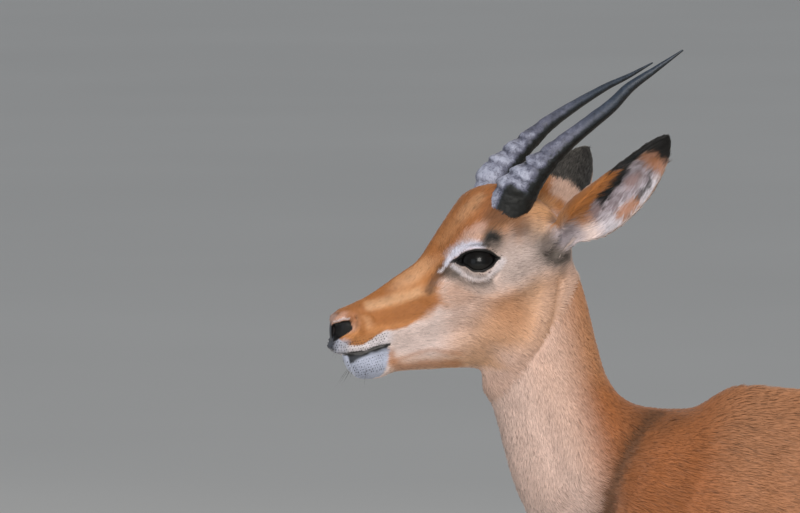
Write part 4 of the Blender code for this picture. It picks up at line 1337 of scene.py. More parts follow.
    def muzzle(self, canvas: Canvas) -> None:
        """Nostrils, nose, lips and chin, with painted shade in the nostrils, between the lips and on the chin, and
        a painted highlight over each nostril.
        """
        lay, line = canvas.lay, canvas.line
        x, y, z = canvas.flat.T
        nx = canvas.normals[:, 0]
        above = z - level(x, MOUTH)
        edge = level(x, (*LIP_EDGE[:6], (-0.375, 0.911)))
        lip = fade(above, -0.0005, 0.0005) * fade(z - edge, 0.0006, -0.001) * fade(x, -0.364, -0.376)
        lay(Tone.WHITE, lip * 0.75)
        upper = fade(z - edge, 0.0002, 0.0012) * fade(z, 0.916, 0.908)
        lay(Tone.ORANGE, upper * fade(x, -0.382, -0.392) * fade(x, -0.4215, -0.414))
        lay(Tone.NOSE_GREY, fade(x, -0.415, -0.4225) * fade(z, 0.906, 0.902) * (above > 0) * 0.9)
        corner = fade(x, -0.408, -0.415) * fade(x, -0.427, -0.42) * fade(z, 0.905, 0.901)
        lay(Tone.CHIN, corner * (above > 0) * 0.6)
        # the chin: white hair in the greyer CHIN tone, partly painted shade
        rear = level(z, CHIN_REAR)
        chin = fade(x - rear, 0.0008, -0.0014) * fade(above, 0.0, -0.0015)
        lay(Tone.CHIN, chin)
        band = level(x, CHIN_BAND)
        dark = fade(above, 0.0004, -0.0004) * fade(z - band, -0.0026, 0.0014) * chin
        dark *= fade(x, -0.4116, -0.4096) * fade(-nx, 0.85, 0.55)
        lay(Tone.SLATE, dark * 0.95)
        front = fade(-nx, 0.35, 0.7) * (x < -0.4)
        middle = fade(y, 0.0125, 0.0085) * front * fade(z, 0.93, 0.926)
        lay(Tone.NOSE_GREY, middle * (above > 0))
        rim = oval_share(canvas.flat, (-418.5, 916.5, 17.5, 12, 22), 0.4) * canvas.sideways
        lay(Tone.PINK, rim * fade(z, 0.905, 0.912) * 0.75)
        line(Tone.RUST, mm(-410, 925, -401, 920, -399, 911), 0.002, 0.007, 0.7)
        lay(Tone.PINK, fade(np.hypot(x + 0.427, z - 0.9255), 0.01, 0.004) * 0.8)
        # painted highlight on the rim over the nostril
        line(Tone.WHITE, mm(-424, 921, -419, 923.2, -412, 924), 0.0002, 0.0012, 0.6)
        line(Tone.UMBER, mm(-427.5, 929, -422.5, 926, -418, 930), 0.0002, 0.002, 0.5)
        # painted shade: the nostril's hollow is shallow, so its inside is laid black as a deep hole would look
        hole = self.nostril(canvas)
        lay(Tone.PITCH, hole)
        # partly dark lip skin, partly painted shade in the gap between the lips and under the upper lip's edge
        slit = line(Tone.PITCH, shifted(MOUTH, 0.0, -0.0006), 0.0013, 0.0024, 0.95)
        lay(Tone.PITCH, fade(above, 0.0004, -0.0004) * fade(above, -0.0045, -0.0025) * dark * 0.8)
        lips = fade(x, -0.415, -0.4215) * (z < 0.906) * (above > 0)
        bare = np.clip(np.maximum.reduce([hole, slit, middle, lips]), 0, 1)
        canvas.bare = np.maximum.reduce([canvas.bare, bare, dark])

    @staticmethod
    def nostril(canvas: Canvas) -> np.ndarray:
        """How far inside the nostril places lie: an oval with a tail up at its rear."""
        x, _, z = canvas.flat.T
        roof = level(x, NOSTRIL_ROOF)
        sill = level(x, NOSTRIL_SILL)
        body = fade(np.minimum(np.minimum(roof - z, z - sill), -0.4058 - x), -0.0003, 0.0007)
        return body * fade(canvas.sideways, 0.0, 0.4)

    def eyes(self, canvas: Canvas) -> None:
        """A white brow, pale hair round the eye and black edges to the lids, with painted shade in front of the
        eye, along the fold before it and along the lower lid's edge.
        """
        lay, line, spot = canvas.lay, canvas.line, canvas.spot
        spot(Tone.CREAM, (-270, 973, 34, 23, -10), 0.9, 0.7)
        spot(Tone.CREAM, (-248, 983, 18, 22, 0), 1.0, 0.55)
        spot(Tone.CREAM, (-290, 1007, 15, 6, 40), 1.0, 0.4)
        # partly the dark tear streak, partly painted shade of the fold that the skin is pressed into along it
        line(Tone.RUST, shifted(TEAR_LINE, -0.004, 0.001), 0.001, 0.009, 0.55)
        line(Tone.UMBER, TEAR_LINE, 0.0014, 0.007, 0.8)
        line(Tone.UMBER, TEAR_LINE[:3], 0.002, 0.006, 0.75)
        line(Tone.SMOKE, shifted(TEAR_LINE[:2], 0.0035, -0.004), 0.001, 0.005, 0.45)
        spot(Tone.ASH, (-245, 986, 22, 26, 0), 1.0, 0.4)
        line(Tone.ASH, shifted(UNDER_EYE[:6], 0.0, -0.0115), 0.002, 0.0075, 0.5)
        line(Tone.SMOKE, shifted(UNDER_EYE[:6], -0.001, -0.006), 0.001, 0.005, 0.65)
        # painted shade in front of the eye's corner
        spot(Tone.SMOKE, (-308.8, 970.2, 9.5, 6.4, 30), 1.0, 0.8)
        line(Tone.WHITE, shifted(UNDER_EYE, -0.001, 0.0014), 0.0012, 0.0056, 0.55)
        # painted shade along the lower lid's edge
        line(Tone.ASH, shifted(UNDER_EYE[:5], 0.0, 0.0042), 0.001, 0.003, 0.5)
        line(Tone.COOL_WHITE, shifted(BROW[3:], -0.0008, 0.0014), 0.0012, 0.0068, 0.5)
        line(Tone.WHITE, BROW, 0.0002, 0.002, 0.7)
        line(Tone.COOL_WHITE, BROW[2:], 0.0008, 0.0036, 0.85)
        line(Tone.COOL_WHITE, shifted(BROW[4:], 0.0, -0.0004), 0.002, 0.0044, 0.85)
        spot(Tone.SMOKE, (-271.2, 1002.2, 11.2, 10.4, 0), 0.8, 0.95)
        spot(Tone.SOOT, (-270.8, 1003.2, 7.6, 7.4, 0), 0.9, 1.0)
        line(Tone.SMOKE, mm(-280, 998.5, -271.2, 1001), 0.001, 0.0034, 0.6)
        spot(Tone.ASH, (-267.2, 995, 9, 6, 10), 1.0, 0.55)
        back, up, out = self.socket.local(canvas.flat).T
        inside = self.socket.inside(back, up)
        near = (np.hypot(back, up) < 0.034) & (out > -0.006)
        lay(Tone.PITCH, fade(inside, -0.0024, -0.0012) * near)
        x, _, z = canvas.flat.T
        top = level(x, WEDGE_TOP)
        low = level(x, WEDGE_LOW)
        wedge = fade(np.minimum(top - z, z - low), -0.0005, 0.0004) * canvas.sideways
        wedge *= (x < -0.288) & (x > -0.3105)
        lay(Tone.PITCH, wedge)
        canvas.bare = np.maximum(canvas.bare, np.maximum(wedge, fade(inside, -0.003, -0.002) * near))

    def ears(self, canvas: Canvas) -> None:
        """Orange behind and grey-white inside, with a black tip; the dark stripe along the rolled-in front edge is
        painted shade.
        """
        for ear in self.lie.ears:
            own, share, along, across, inner = ear.read(canvas.points, canvas.normals)
            places = canvas.points[own]
            along = along + 0.02 * mottle(places, 0.004, 3)
            left = ear.side == "left"
            leaf, hollow = (Canvas(places, canvas.normals[own]) for _ in range(2))
            outer, inside = leaf.lay, hollow.lay
            outer(Tone.RUST, np.ones(len(own)))
            outer(Tone.BEIGE, fade(along, 0.15, 0.24) * fade(across, 1.0, 0.8) * 0.85)
            outer(Tone.CREAM, fade(across, -0.15, -0.6) * fade(along, 0.62, 0.45))
            rim = 0.13 * fade(across, 0.8, 1.0) * left
            outer(Tone.PITCH, fade(along + 0.04 * across - 0.32 * fade(across, -0.3, -0.8) - rim, 0.44, 0.5))
            inside(Tone.EAR_WHITE, np.ones(len(own)))
            shade = fade(mottle(places, 0.0042, 37), -0.45, 0.35) * fade(across, -0.9, -0.65)
            inside(Tone.EAR_SHADE, 0.7 * shade)
            inside(Tone.WHITE, 0.6 * fade(across, -0.6, -0.85))
            inside(Tone.WHITE, 0.3 * fade(mottle(places, 0.005, 32), 0.0, 0.6))
            inside(Tone.EAR_PINK, 0.8 * fade(np.hypot((along - 0.53) / 0.11, (across + 0.28) / 0.26), 1.0, 0.5))
            inside(Tone.EAR_PINK, 0.5 * fade(np.hypot((along - 0.22) / 0.09, (across + 0.35) / 0.25), 1.0, 0.5))
            blot = fade(mottle(places, 0.0065, 31), 0.25, 0.75)
            inside(Tone.SMOKE, 0.45 * blot * fade(across, -0.7, -0.3))
            seam = level(along, EAR_SEAM)
            seam = fade(np.abs(across - seam), 0.1, 0.04) * fade(along, 0.42, 0.47) * fade(along, 0.71, 0.68)
            inside(Tone.SOOT, 0.85 * seam)
            inside(Tone.RUST, 0.8 * fade(along, 0.66, 0.73) * fade(across, 0.9, 0.5))
            inside(Tone.RUST, 0.8 * fade(np.hypot((along - 0.39) / 0.12, (across + 0.8) / 0.16), 1.0, 0.6))
            roll = across - level(along, EAR_ROLL)
            rolled = 1.0 if left else 0.25
            inside(Tone.RUST, rolled * fade(roll, 0.0, 0.12))
            # painted shade: a dark stripe inside the roll of the front edge
            inside(Tone.SLATE, rolled * fade(np.abs(roll + 0.2), 0.3, 0.22) * fade(along, 0.23, 0.29))
            inside(Tone.PITCH, fade(along, 0.775, 0.815))
            ear_colour = leaf.colour + inner[:, None] * (hollow.colour - leaf.colour)
            share = fade(share, 0.0, 0.9)[:, None]
            canvas.colour[own] += share * (ear_colour - canvas.colour[own])


# ---------------------------------------------------------------------------------------------------
# The coat


class Patch(NamedTuple):
    """A part of the coat that is one piece: its slot, how many locks it has and its locks' sizes."""

    name: str
    slot: str
    locks: int
    length: float
    width: float


PATCHES = (
    Patch("coat_muzzle", "coat_face", 46000, 0.0042, 0.00062),
    Patch("coat_cheeks", "coat_face", 48000, 0.0062, 0.00075),
    Patch("coat_ears", "coat_face", 30000, 0.0075, 0.00075),
    Patch("coat_neck", "coat_fawn", 48000, 0.0064, 0.0009),
    Patch("coat_shoulders", "coat_red_brown", 48000, 0.011, 0.0013),
    Patch("coat_flanks", "coat_red_brown", 48000, 0.015, 0.0021),
    Patch("coat_haunches", "coat_red_brown", 48000, 0.015, 0.0021),
    Patch("coat_legs", "coat_fawn", 44000, 0.01, 0.0017),
)


WHISKER_ROWS, LOW_ROWS = 11, 6  # rows of dots on each side, and how many of them lie below the mouth
LASHES = 46  # on each upper lid


@dataclass
class Coat:
    """Closed four-sided locks, rooted on the skin and combed along the lie of the coat."""

    skin: bpy.types.Object
    lie: Lie
    markings: Markings
    horn_feet: tuple
    seed: int = 7
    patch_span: float = 0.003  # how wide a lock's patch is on the coat's map
    crest: float = 0.38  # where along a lock it is thickest
    sunk: float = 0.0002  # how deep a lock's root lies in the skin

    def __post_init__(self) -> None:
        """Reads the skin's triangles once."""
        mesh = self.skin.data
        mesh.calc_loop_triangles()
        flat = np.empty(len(mesh.loop_triangles) * 3, np.int64)
        mesh.loop_triangles.foreach_get("vertices", flat)
        self.corners = flat.reshape(-1, 3)
        self.points, self.normals = points_of(mesh), normals_of(mesh)
        first, second, third = (self.points[self.corners[:, k]] for k in range(3))
        self.areas = np.linalg.norm(np.cross(second - first, third - first), axis=1) / 2
        self.middles = (first + second + third) / 3
        _, self.bare = self.markings.paint(self.points, self.normals)

    def own_triangles(self) -> np.ndarray:
        """The number of the patch that each triangle of the skin belongs to."""
        normals = unit(self.normals[self.corners].sum(axis=1))
        x, z = self.middles[:, 0], self.middles[:, 2]
        straight = unswung(self.middles)
        ears = self.lie.ear_share(self.middles, normals) > 0.25
        number = {patch.name: place for place, patch in enumerate(PATCHES)}
        own = np.full(len(x), number["coat_flanks"])
        own[x < 0.13] = number["coat_shoulders"]
        own[x > 0.42] = number["coat_haunches"]
        own[(z < 0.5) & ((x < 0.1) | (straight[:, 0] > 0.42))] = number["coat_legs"]
        own[(z - 0.75 * x > 0.845) & (x < 0.0)] = number["coat_neck"]
        own[on_head(self.middles)] = number["coat_cheeks"]
        own[(x < -0.318) & (z > 0.84)] = number["coat_muzzle"]
        own[ears] = number["coat_ears"]
        return own

    def weights(self) -> np.ndarray:
        """How likely each triangle is to carry a lock: none where the skin is bare or under a horn."""
        bare = self.bare[self.corners].mean(axis=1)
        weight = self.areas * (bare < 0.35) * (self.middles[:, 2] >= 0.0)
        for x, y, z, radius in self.horn_feet:
            away = np.linalg.norm(self.middles - (x, y, z), axis=1)
            weight *= away > radius
        return weight

    def roots(self, patch: Patch, chosen: np.ndarray, weight: np.ndarray, draw: np.random.Generator) -> tuple:
        """Scatters a patch's roots over its triangles.

        Args:
            patch: The patch.
            chosen: The numbers of its triangles.
            weight: The weight of every triangle of the skin.
            draw: The source of the scatter.

        Returns:
            The roots' places and the skin's directions there.
        """
        edges = np.cumsum(weight[chosen] / weight[chosen].sum())
        shots = (np.arange(patch.locks) + draw.random(patch.locks)) / patch.locks
        picks = chosen[np.minimum(np.searchsorted(edges, shots), len(chosen) - 1)]
        u, v = np.sqrt(draw.random(patch.locks)), draw.random(patch.locks)
        mix = np.column_stack([1 - u, u * (1 - v), u * v])[:, :, None]
        corners = self.corners[picks]
        return (self.points[corners] * mix).sum(axis=1), unit((self.normals[corners] * mix).sum(axis=1))

    def locks(
        self, patch: Patch, places: np.ndarray, normals: np.ndarray, draw: np.random.Generator
    ) -> np.ndarray:
        """The four corners of every lock: left root, right root, crest and tip."""
        count = len(places)
        way = self.lie.way(places, normals)
        stray = 0.1 * mottle(places, 0.012, 9) + 0.09 * draw.standard_normal(count)
        across = np.cross(normals, way)
        way = unit(way + across * stray[:, None])
        across = np.cross(normals, way)
        depth = self.lie.depth(places, normals)
        size = 0.75 + 0.5 * draw.random(count)
        length = patch.length * size * np.clip(depth / np.median(depth), 0.55, 1.8) ** 0.7
        length *= self.lie.stretch(places, normals)
        width = patch.width * (0.8 + 0.4 * draw.random(count))
        lift = depth * (0.45 + 0.5 * draw.random(count) ** 2)
        root = places - normals * self.sunk
        tip = root + way * length[:, None] + normals * (lift + self.sunk)[:, None]
        crest = root + way * (length * self.crest)[:, None]
        crest += normals * (0.62 * lift + 0.22 * width + self.sunk)[:, None]
        side = across * (width / 2)[:, None]
        return np.stack([root + side, root - side, crest, tip], axis=1)

    def shades(self, places: np.ndarray, normals: np.ndarray, draw: np.random.Generator) -> np.ndarray:
        """The colours of every lock's four corners: darker at the root, lighter at the tip."""
        count = len(places)
        ragged = places + 0.0011 * draw.standard_normal((count, 3)) * fade(places[:, 0], -0.45, -0.2)[:, None]
        colour, _ = self.markings.paint(ragged, normals)
        tint = 1 + 0.07 * draw.standard_normal(count) + 0.06 * mottle(places, 0.01, 4)
        dark = draw.random(count) < 0.06
        tint = np.clip(np.where(dark, tint * 0.62, tint), 0.35, 1.45)
        colour = colour * tint[:, None]
        ends = np.array([0.8, 0.8, 1.0, 1.12])
        return np.clip(colour[:, None, :] * ends[None, :, None], 0, 1)

    def unwrap(self, places: np.ndarray, patch: Patch) -> np.ndarray:
        """Places of the roots on an unwrap of the skin: round each limb and along it.

        The head, neck and trunk are each unrolled round their own line, a leg or an ear has a strip of
        its own, and the whole is spread over the square.
        """
        x, y, z = places.T
        if patch.name == "coat_legs":
            straight = unswung(places)
            hind, right = straight[:, 0] > 0.3, y > 0
            middle = np.where(hind, np.interp(z, (0.05, 0.25, 0.5), (0.625, 0.657, 0.57)), -0.052)
            round_it = np.arctan2(np.abs(y) - 0.068, straight[:, 0] - middle) / (2 * math.pi) + 0.5
            strip = hind * 2 + right
            flat = np.column_stack([(strip + 0.05 + 0.9 * round_it) / 4, z])
        elif patch.name == "coat_ears":
            flat = np.empty((len(x), 2))
            for strip, ear in enumerate(self.lie.ears):
                own = y * SIDES[ear.side] > 0
                away = ear.as_right(places[own]) - np.array(EAR_ROOT)
                along, across, deep = (away @ ear.axes().T).T
                round_it = np.arctan2(deep - 0.012, across) / (2 * math.pi) + 0.5
                flat[own] = np.column_stack([(strip + 0.05 + 0.9 * round_it) / 2, along])
        else:
            along = z - 0.5 * x if patch.name == "coat_neck" else x
            middle = np.interp(x, (-0.4, -0.3, -0.2, -0.1, 0.1, 0.6), (0.905, 0.945, 0.97, 0.7, 0.67, 0.7))
            centre_z = 0.8 + 0 * z if patch.name == "coat_neck" else middle
            front = x + 0.45 * (z - 0.8) + 0.17
            round_it = np.arctan2(y, front if patch.name == "coat_neck" else z - centre_z) / (2 * math.pi) + 0.5
            flat = np.column_stack([round_it, along])
        low, high = flat.min(axis=0), flat.max(axis=0)
        margin = self.patch_span
        return margin + (flat - low) / (high - low) * (1 - 2 * margin)

    def weave(
        self, patch: Patch, normals: np.ndarray, corners: np.ndarray, colours: np.ndarray
    ) -> bpy.types.Object:
        """Makes the mesh of a patch.

        Args:
            patch: The patch.
            normals: The skin's direction at every lock.
            corners: Four places for every lock, as locks() gives them.
            colours: The linear colours of those places.

        Returns:
            The piece, with its colours and its map.
        """
        count = len(corners)
        mesh = bpy.data.meshes.new(patch.name)
        lock = np.array([(1, 2, 0), (0, 2, 3), (1, 3, 2), (0, 3, 1)])
        faces = (lock + 4 * np.arange(count)[:, None, None]).reshape(-1)
        mesh.vertices.add(4 * count)
        mesh.vertices.foreach_set("co", corners.astype(np.float32).ravel())
        mesh.loops.add(len(faces))
        mesh.loops.foreach_set("vertex_index", faces.astype(np.int32))
        mesh.polygons.add(4 * count)
        mesh.polygons.foreach_set("loop_start", np.arange(0, len(faces), 3, dtype=np.int32))
        mesh.polygons.foreach_set("use_smooth", np.ones(4 * count, bool))
        store_colour(mesh, colours.reshape(-1, 3))
        square = (np.array([(0, 0.5), (0, -0.5), (0.5, 0), (1, 0)]) - (0.5, 0)) * self.patch_span
        root = (corners[:, 0] + corners[:, 1]) / 2
        spots = (self.unwrap(root, patch)[:, None, :] + square[None]).reshape(-1, 2)
        uv = mesh.uv_layers.new(name=HAIR_MAP)
        uv.data.foreach_set("uv", np.clip(spots[faces], 0, 1).astype(np.float32).ravel())
        mesh.update(calc_edges=True)
        across = unit(corners[:, 0] - corners[:, 1])
        lean = np.array([0.45, -0.45, 0.0, 0.0])[None, :, None]
        ruffle = 0.1 * np.random.default_rng(self.seed).standard_normal((count, 1, 3))
        shading = normals[:, None, :] + lean * across[:, None, :] + ruffle
        mesh.normals_split_custom_set_from_vertices(unit(shading.reshape(-1, 3)).astype(np.float32))
        obj = bpy.data.objects.new(patch.name, mesh)
        bpy.context.scene.collection.objects.link(obj)
        return obj

    def whiskers(self, socket: EyeSocket) -> tuple:
        """Short dark bristles in rows on lips and chin, a few long ones, and the upper lids' lashes.

        Args:
            socket: Where the lids are.

        Returns:
            The piece and its patch.
        """
        draw = np.random.default_rng(self.seed + 50)
        muzzle = self.corners[(self.middles[:, 0] < -0.355) & (self.middles[:, 2] > 0.84)]
        tree = BVHTree.FromPolygons(self.points.tolist(), muzzle.tolist())
        roots, ways, sizes = [], [], []
        for side in SIDES.values():
            for row, place in itertools.product(range(WHISKER_ROWS), range(22)):
                x = -0.426 + 0.0027 * (place + 0.5 * (row % 2)) + draw.normal(0, 0.00035)
                mouth = float(level(x, MOUTH))
                low = row < LOW_ROWS
                z = mouth - 0.0085 - 0.0029 * row if low else mouth + 0.0025 + 0.0026 * (row - LOW_ROWS)
                z += draw.normal(0, 0.0003)
                if x > (-0.3735 if low else -0.378 + 0.002 * (row - LOW_ROWS)):
                    continue
                hit, normal, _, _ = tree.ray_cast(Vector((x, side * 0.08, z)), Vector((0, -side, 0)))
                if hit is None or abs(hit.y) < 0.004 or normal.dot(Vector((0, side, 0))) < 0.15:
                    continue
                long = draw.random() < 0.03
                roots.append((hit, normal))
                ways.append(normal * (0.75 if long else 0.25) + Vector((-0.25, 0.0, -0.75 if low else -0.45)))
                size = draw.random()
                sizes.append((0.016 + 0.01 * size, 0.00032) if long else (0.0017 + 0.0006 * size, 0.00135))
            rim = socket.margin()
            count = len(rounded(socket.upper, 6))
            for share in np.linspace(0.22, 0.97, LASHES):
                place = share * (count - 1)
                cell = int(place)
                spot = Vector(rim[cell] + (place - cell) * (rim[min(cell + 1, count - 1)] - rim[cell]))
                spot.y *= side
                out = (spot - Vector((EYE_CENTRE[0], side * EYE_CENTRE[1], EYE_CENTRE[2]))).normalized()
                roots.append((spot, out))
                ways.append(out * 0.9 + Vector((0.35 * (share - 0.4), side * 0.35, -0.25 + 0.1 * draw.random())))
                sizes.append((0.0055 + 0.0025 * math.sin(math.pi * share), 0.00034))
        root, normal = np.array([r[0] for r in roots]), np.array([r[1] for r in roots])
        way, (length, width) = unit(np.array(ways)), np.array(sizes).T[:, :, None]
        across = unit(np.cross(normal, way) + 1e-6)
        root = root - normal * 0.0003
        tip = root + way * length + np.array([0, 0, -0.1]) * length**1.5
        crest = root + way * length * 0.4 + normal * width * 0.8
        corners = np.stack([root + across * width / 2, root - across * width / 2, crest, tip], axis=1)
        black = np.tile(np.array(linear(Tone.SOOT.value)), (len(root), 4, 1))
        patch = Patch("whiskers_and_lashes", "coat_face", len(root), 0.0, 0.0)
        return self.weave(patch, normal, corners, black), patch

    def build(self) -> list:
        """All the pieces of the coat, each with its patch."""
        own, weight = self.own_triangles(), self.weights()
        pieces = []
        for number, patch in enumerate(PATCHES):
            draw = np.random.default_rng(self.seed + number)
            chosen = np.flatnonzero((own == number) & (weight > 0))
            places, normals = self.roots(patch, chosen, weight, draw)
            corners = self.locks(patch, places, normals, draw)
            pieces.append((self.weave(patch, normals, corners, self.shades(places, normals, draw)), patch))
        return [*pieces, self.whiskers(self.markings.socket)]

    def paint_skin(self) -> None:
        """Gives the skin the coat's own markings, darker as roots are, and marks what is bare."""
        colour, bare = self.markings.paint(self.points, self.normals)
        store_colour(self.skin.data, colour * (0.8 + 0.2 * bare)[:, None])
        store(self.skin.data, BARE, bare)
# ---------------------------------------------------------------------------------------------------
# Horns, eyes and claws


@dataclass
class Horn:
    """A horn with knobbly rings and wrinkles on its lower half and a smooth tip."""

    side: str
    around: int = 96
    rows: int = 40  # for each span of the path
    ridge: float = 0.0042  # how far the lowest rings stand out in front
    flatness: float = 0.9

    def build(self) -> bpy.types.Object:
        """The horn, in the drawing's place, with its paleness, from worn crests and painted light and shade, and
        its place along it stored for its finish.
        """
        path = HORN_PATHS[self.side]
        spans = len(path) - 1
        bm, places, spin, off_pole = sleeve(spans, self.around, self.rows)
        line = smooth_through(path, places)
        before, after = np.maximum(places - 0.02, 0), np.minimum(places + 0.02, spans)
        forward = unit((smooth_through(path, after) - smooth_through(path, before))[:, :3])
        back = unit(np.cross(forward, np.array([0.0, 1.0, 0.0])))
        outward = np.cross(back, forward)
        share = places / spans
        ahead = np.cos(spin) * -np.sign(back[0, 0] + 1e-9)
        aside = np.sin(spin)
        front = fade(ahead, -0.6, 0.9)
        sample = line[:, :3] + (back * np.cos(spin)[:, None] + outward * aside[:, None]) * line[:, 3:4]
        here = places + 0.1 * mottle(sample, 0.012, 11 + SIDES[self.side]) - 0.22 * (1 - front)
        wave = np.zeros(len(places))
        for crest, height in zip(RING_PLACES[self.side], RING_HEIGHTS):
            ring = fade(here, crest - 0.2, crest) * fade(here, crest + 0.62, crest + 0.02)
            wave = np.maximum(wave, height * ring)
        strength = (0.22 + 0.78 * front) * (0.8 + 0.4 * mottle(sample, 0.008, 15))
        low = fade(share, 0.55, 0.25)
        pits = mottle(sample, 0.0042, 21)
        crinkle = 0.0005 * pits + 0.0004 * mottle(sample, 0.0024, 22) + 0.0002 * mottle(sample, 0.0012, 23)
        swell = self.ridge * strength * (wave - 0.25) + crinkle * low
        radius = (line[:, 3] + swell * np.clip(line[:, 3] / 0.01, 0, 1)) * off_pole
        away = back * np.cos(spin)[:, None] + outward * self.flatness * aside[:, None]
        place = line[:, :3] + away * radius[:, None]
        place[:, 1] *= SIDES[self.side]
        move_verts(bm, place)
        # painted light and shade: pale on the front and top, dark on the underside and round the rear of the base
        pale = fade(ahead, -0.6, 0.4) * (0.55 + 0.45 * fade(share, 0.95, 0.3))
        outer = fade(ahead - 0.95 * aside, -0.3, 0.5)
        pale *= outer + (1 - outer) * fade(places, 1.15, 1.5)
        # the ring crests lighter, partly with wear and partly as painted highlight; the grooves between them
        # darkened as painted shade
        worn = np.maximum(wave, 0.8 * fade(here, 1.0, 0.8))
        pale *= (
            0.62 + 0.4 * worn * fade(share, 0.42, 0.14)
            + 0.12 * low * np.clip(pits, -1, 1) - 0.16 * low * fade(worn, 0.15, 0.0)
        )
        return new_object(f"{self.side}_horn_ringed", bm, smooth=True, pale=np.clip(pale, 0, 1), along=share)


@dataclass
class Eye:
    """A ball with a slightly bulging cornea over a dark iris and a lying oval pupil."""

    side: str
    socket: EyeSocket
    iris: float = 0.0118
    pupil: tuple = (0.0075, 0.0042)
    bulge: float = 0.001
    rim: float = 0.001  # how thick the lids' bare edges are

    def ball(self) -> bpy.types.Object:
        """The eyeball, in the drawing's place, with the iris and pupil stored for its finish."""
        bm = bmesh.new()
        bmesh.ops.create_uvsphere(bm, u_segments=96, v_segments=64, radius=EYEBALL)
        local = np.array([vert.co for vert in bm.verts])
        ahead = local[:, 2] > 0
        off = np.hypot(local[:, 0], local[:, 1])
        front = fade(off, self.iris * 1.15, 0.0) * ahead
        local *= 1 + (front * self.bulge / EYEBALL)[:, None]
        places = np.array(EYE_CENTRE) + local @ self.socket.axes()
        places[:, 1] *= SIDES[self.side]
        move_verts(bm, places)
        iris = fade(off, self.iris, self.iris * 0.9) * ahead
        pupil = fade(np.hypot(local[:, 0] / self.pupil[0], local[:, 1] / self.pupil[1]), 1.08, 0.92) * ahead
        return new_object(f"{self.side}_eyeball", bm, smooth=True, iris=iris, pupil=pupil)

    def rims(self) -> bpy.types.Object:
        """The lids' bare edges: a soft roll round the almond."""
        line = self.socket.margin()
        line[:, 1] *= SIDES[self.side]
        curve = bpy.data.curves.new(f"{self.side}_lid_rims", "CURVE")
        curve.dimensions = "3D"
        curve.bevel_depth = self.rim
        curve.bevel_resolution = 4
        spline = curve.splines.new("POLY")
        spline.points.add(len(line) - 1)
        spline.points.foreach_set("co", np.column_stack([line, np.ones(len(line))]).ravel())
        spline.use_cyclic_u = True
        tube = bpy.data.objects.new(curve.name, curve)
        bpy.context.scene.collection.objects.link(tube)
        mesh = bake(tube)
        bpy.data.objects.remove(tube)
        bm = bmesh.new()
        bm.from_mesh(mesh)
        bpy.data.meshes.remove(mesh)
        bmesh.ops.remove_doubles(bm, verts=bm.verts, dist=1e-6)
        face_out(bm)
        return new_object(curve.name, bm, smooth=True)


@dataclass
class Claw:
    """One half of a cloven hoof, with a flat sole, a rounded wall and fine growth rings."""

    side: str
    leg: str
    where: str
    slant: float = 0.022  # how far the wall leans back from toe to coronet
    round_toe: float = 0.45
    growth: float = 0.00018  # height of the growth rings
    arris: float = 0.0012  # how far its edges are rounded
    largest_round: float = 0.0002  # square metres, above which a face stays flat

    def build(self) -> bpy.types.Object:
        """The claw, in the drawing's place."""
        bm = bmesh.new()
        bmesh.ops.create_cone(bm, segments=40, radius1=1.0, radius2=1.0, depth=2.0, cap_ends=True)
        upright = [edge for edge in bm.edges if abs(edge.verts[0].co.z - edge.verts[1].co.z) > 1.0]
        bmesh.ops.subdivide_edges(bm, edges=upright, cuts=14, use_grid_fill=True)
        sign = SIDES[self.side]
        lean = sign * (1 if self.where == "outer" else -1)
        toe = TOE[self.leg] + SWING[f"{self.side}_{self.leg}"]
        for vert in bm.verts:
            back, rise = (vert.co.x + 1) / 2, (vert.co.z + 1) / 2
            full = CLAW_WIDTH * (1 - self.round_toe * (1 - back) ** 2.2) * (1 - 0.07 * rise)
            start, end = self.slant * rise, CLAW_LENGTH - 0.0015 * rise
            x = start + back * (end - start)
            top = CORONET + (HEEL - CORONET) * x / CLAW_LENGTH
            ripple = self.growth * math.sin(rise * 40) * math.sin(math.pi * rise)
            y = CLEFT / 2 + (vert.co.y + 1) / 2 * (full + ripple)
            vert.co = (toe + x - ripple, y * lean + sign * FOOT_Y, top * rise)
        face_out(bm)
        rims = [edge for edge in bm.edges if len(edge.link_faces) == 2 and edge.calc_face_angle() > 0.9]
        bmesh.ops.bevel(
            bm, geom=rims, offset=self.arris, affect="EDGES", segments=3, profile=0.5, material=-1,
            clamp_overlap=True,
        )
        split_many_sided(bm)
        bm.normal_update()
        obj = new_object(f"{self.side}_{self.leg}_hoof_{self.where}", bm)
        for polygon in obj.data.polygons:
            polygon.use_smooth = polygon.area < self.largest_round
        return obj


# ---------------------------------------------------------------------------------------------------
# Finishes


def add_node(tree: bpy.types.NodeTree, kind: str, settings: dict | None = None, **links: object) -> bpy.types.Node:
    """Adds one node.

    Args:
        tree: The tree it goes in.
        kind: The node's type without its ShaderNode, as in Math.
        settings: Attributes to set, and inputs by number or name.
        links: Inputs, by name or by number after a _, each an output socket.

    Returns:
        The new node.
    """
    node = tree.nodes.new(f"ShaderNode{kind}")
    for name, value in (settings or {}).items():
        if isinstance(name, int) or name in node.inputs:
            node.inputs[name].default_value = value
        else:
            setattr(node, name, value)
    for name, socket in links.items():
        tree.links.new(node.inputs[int(name[1:]) if name[0] == "_" else name], socket)
    return node


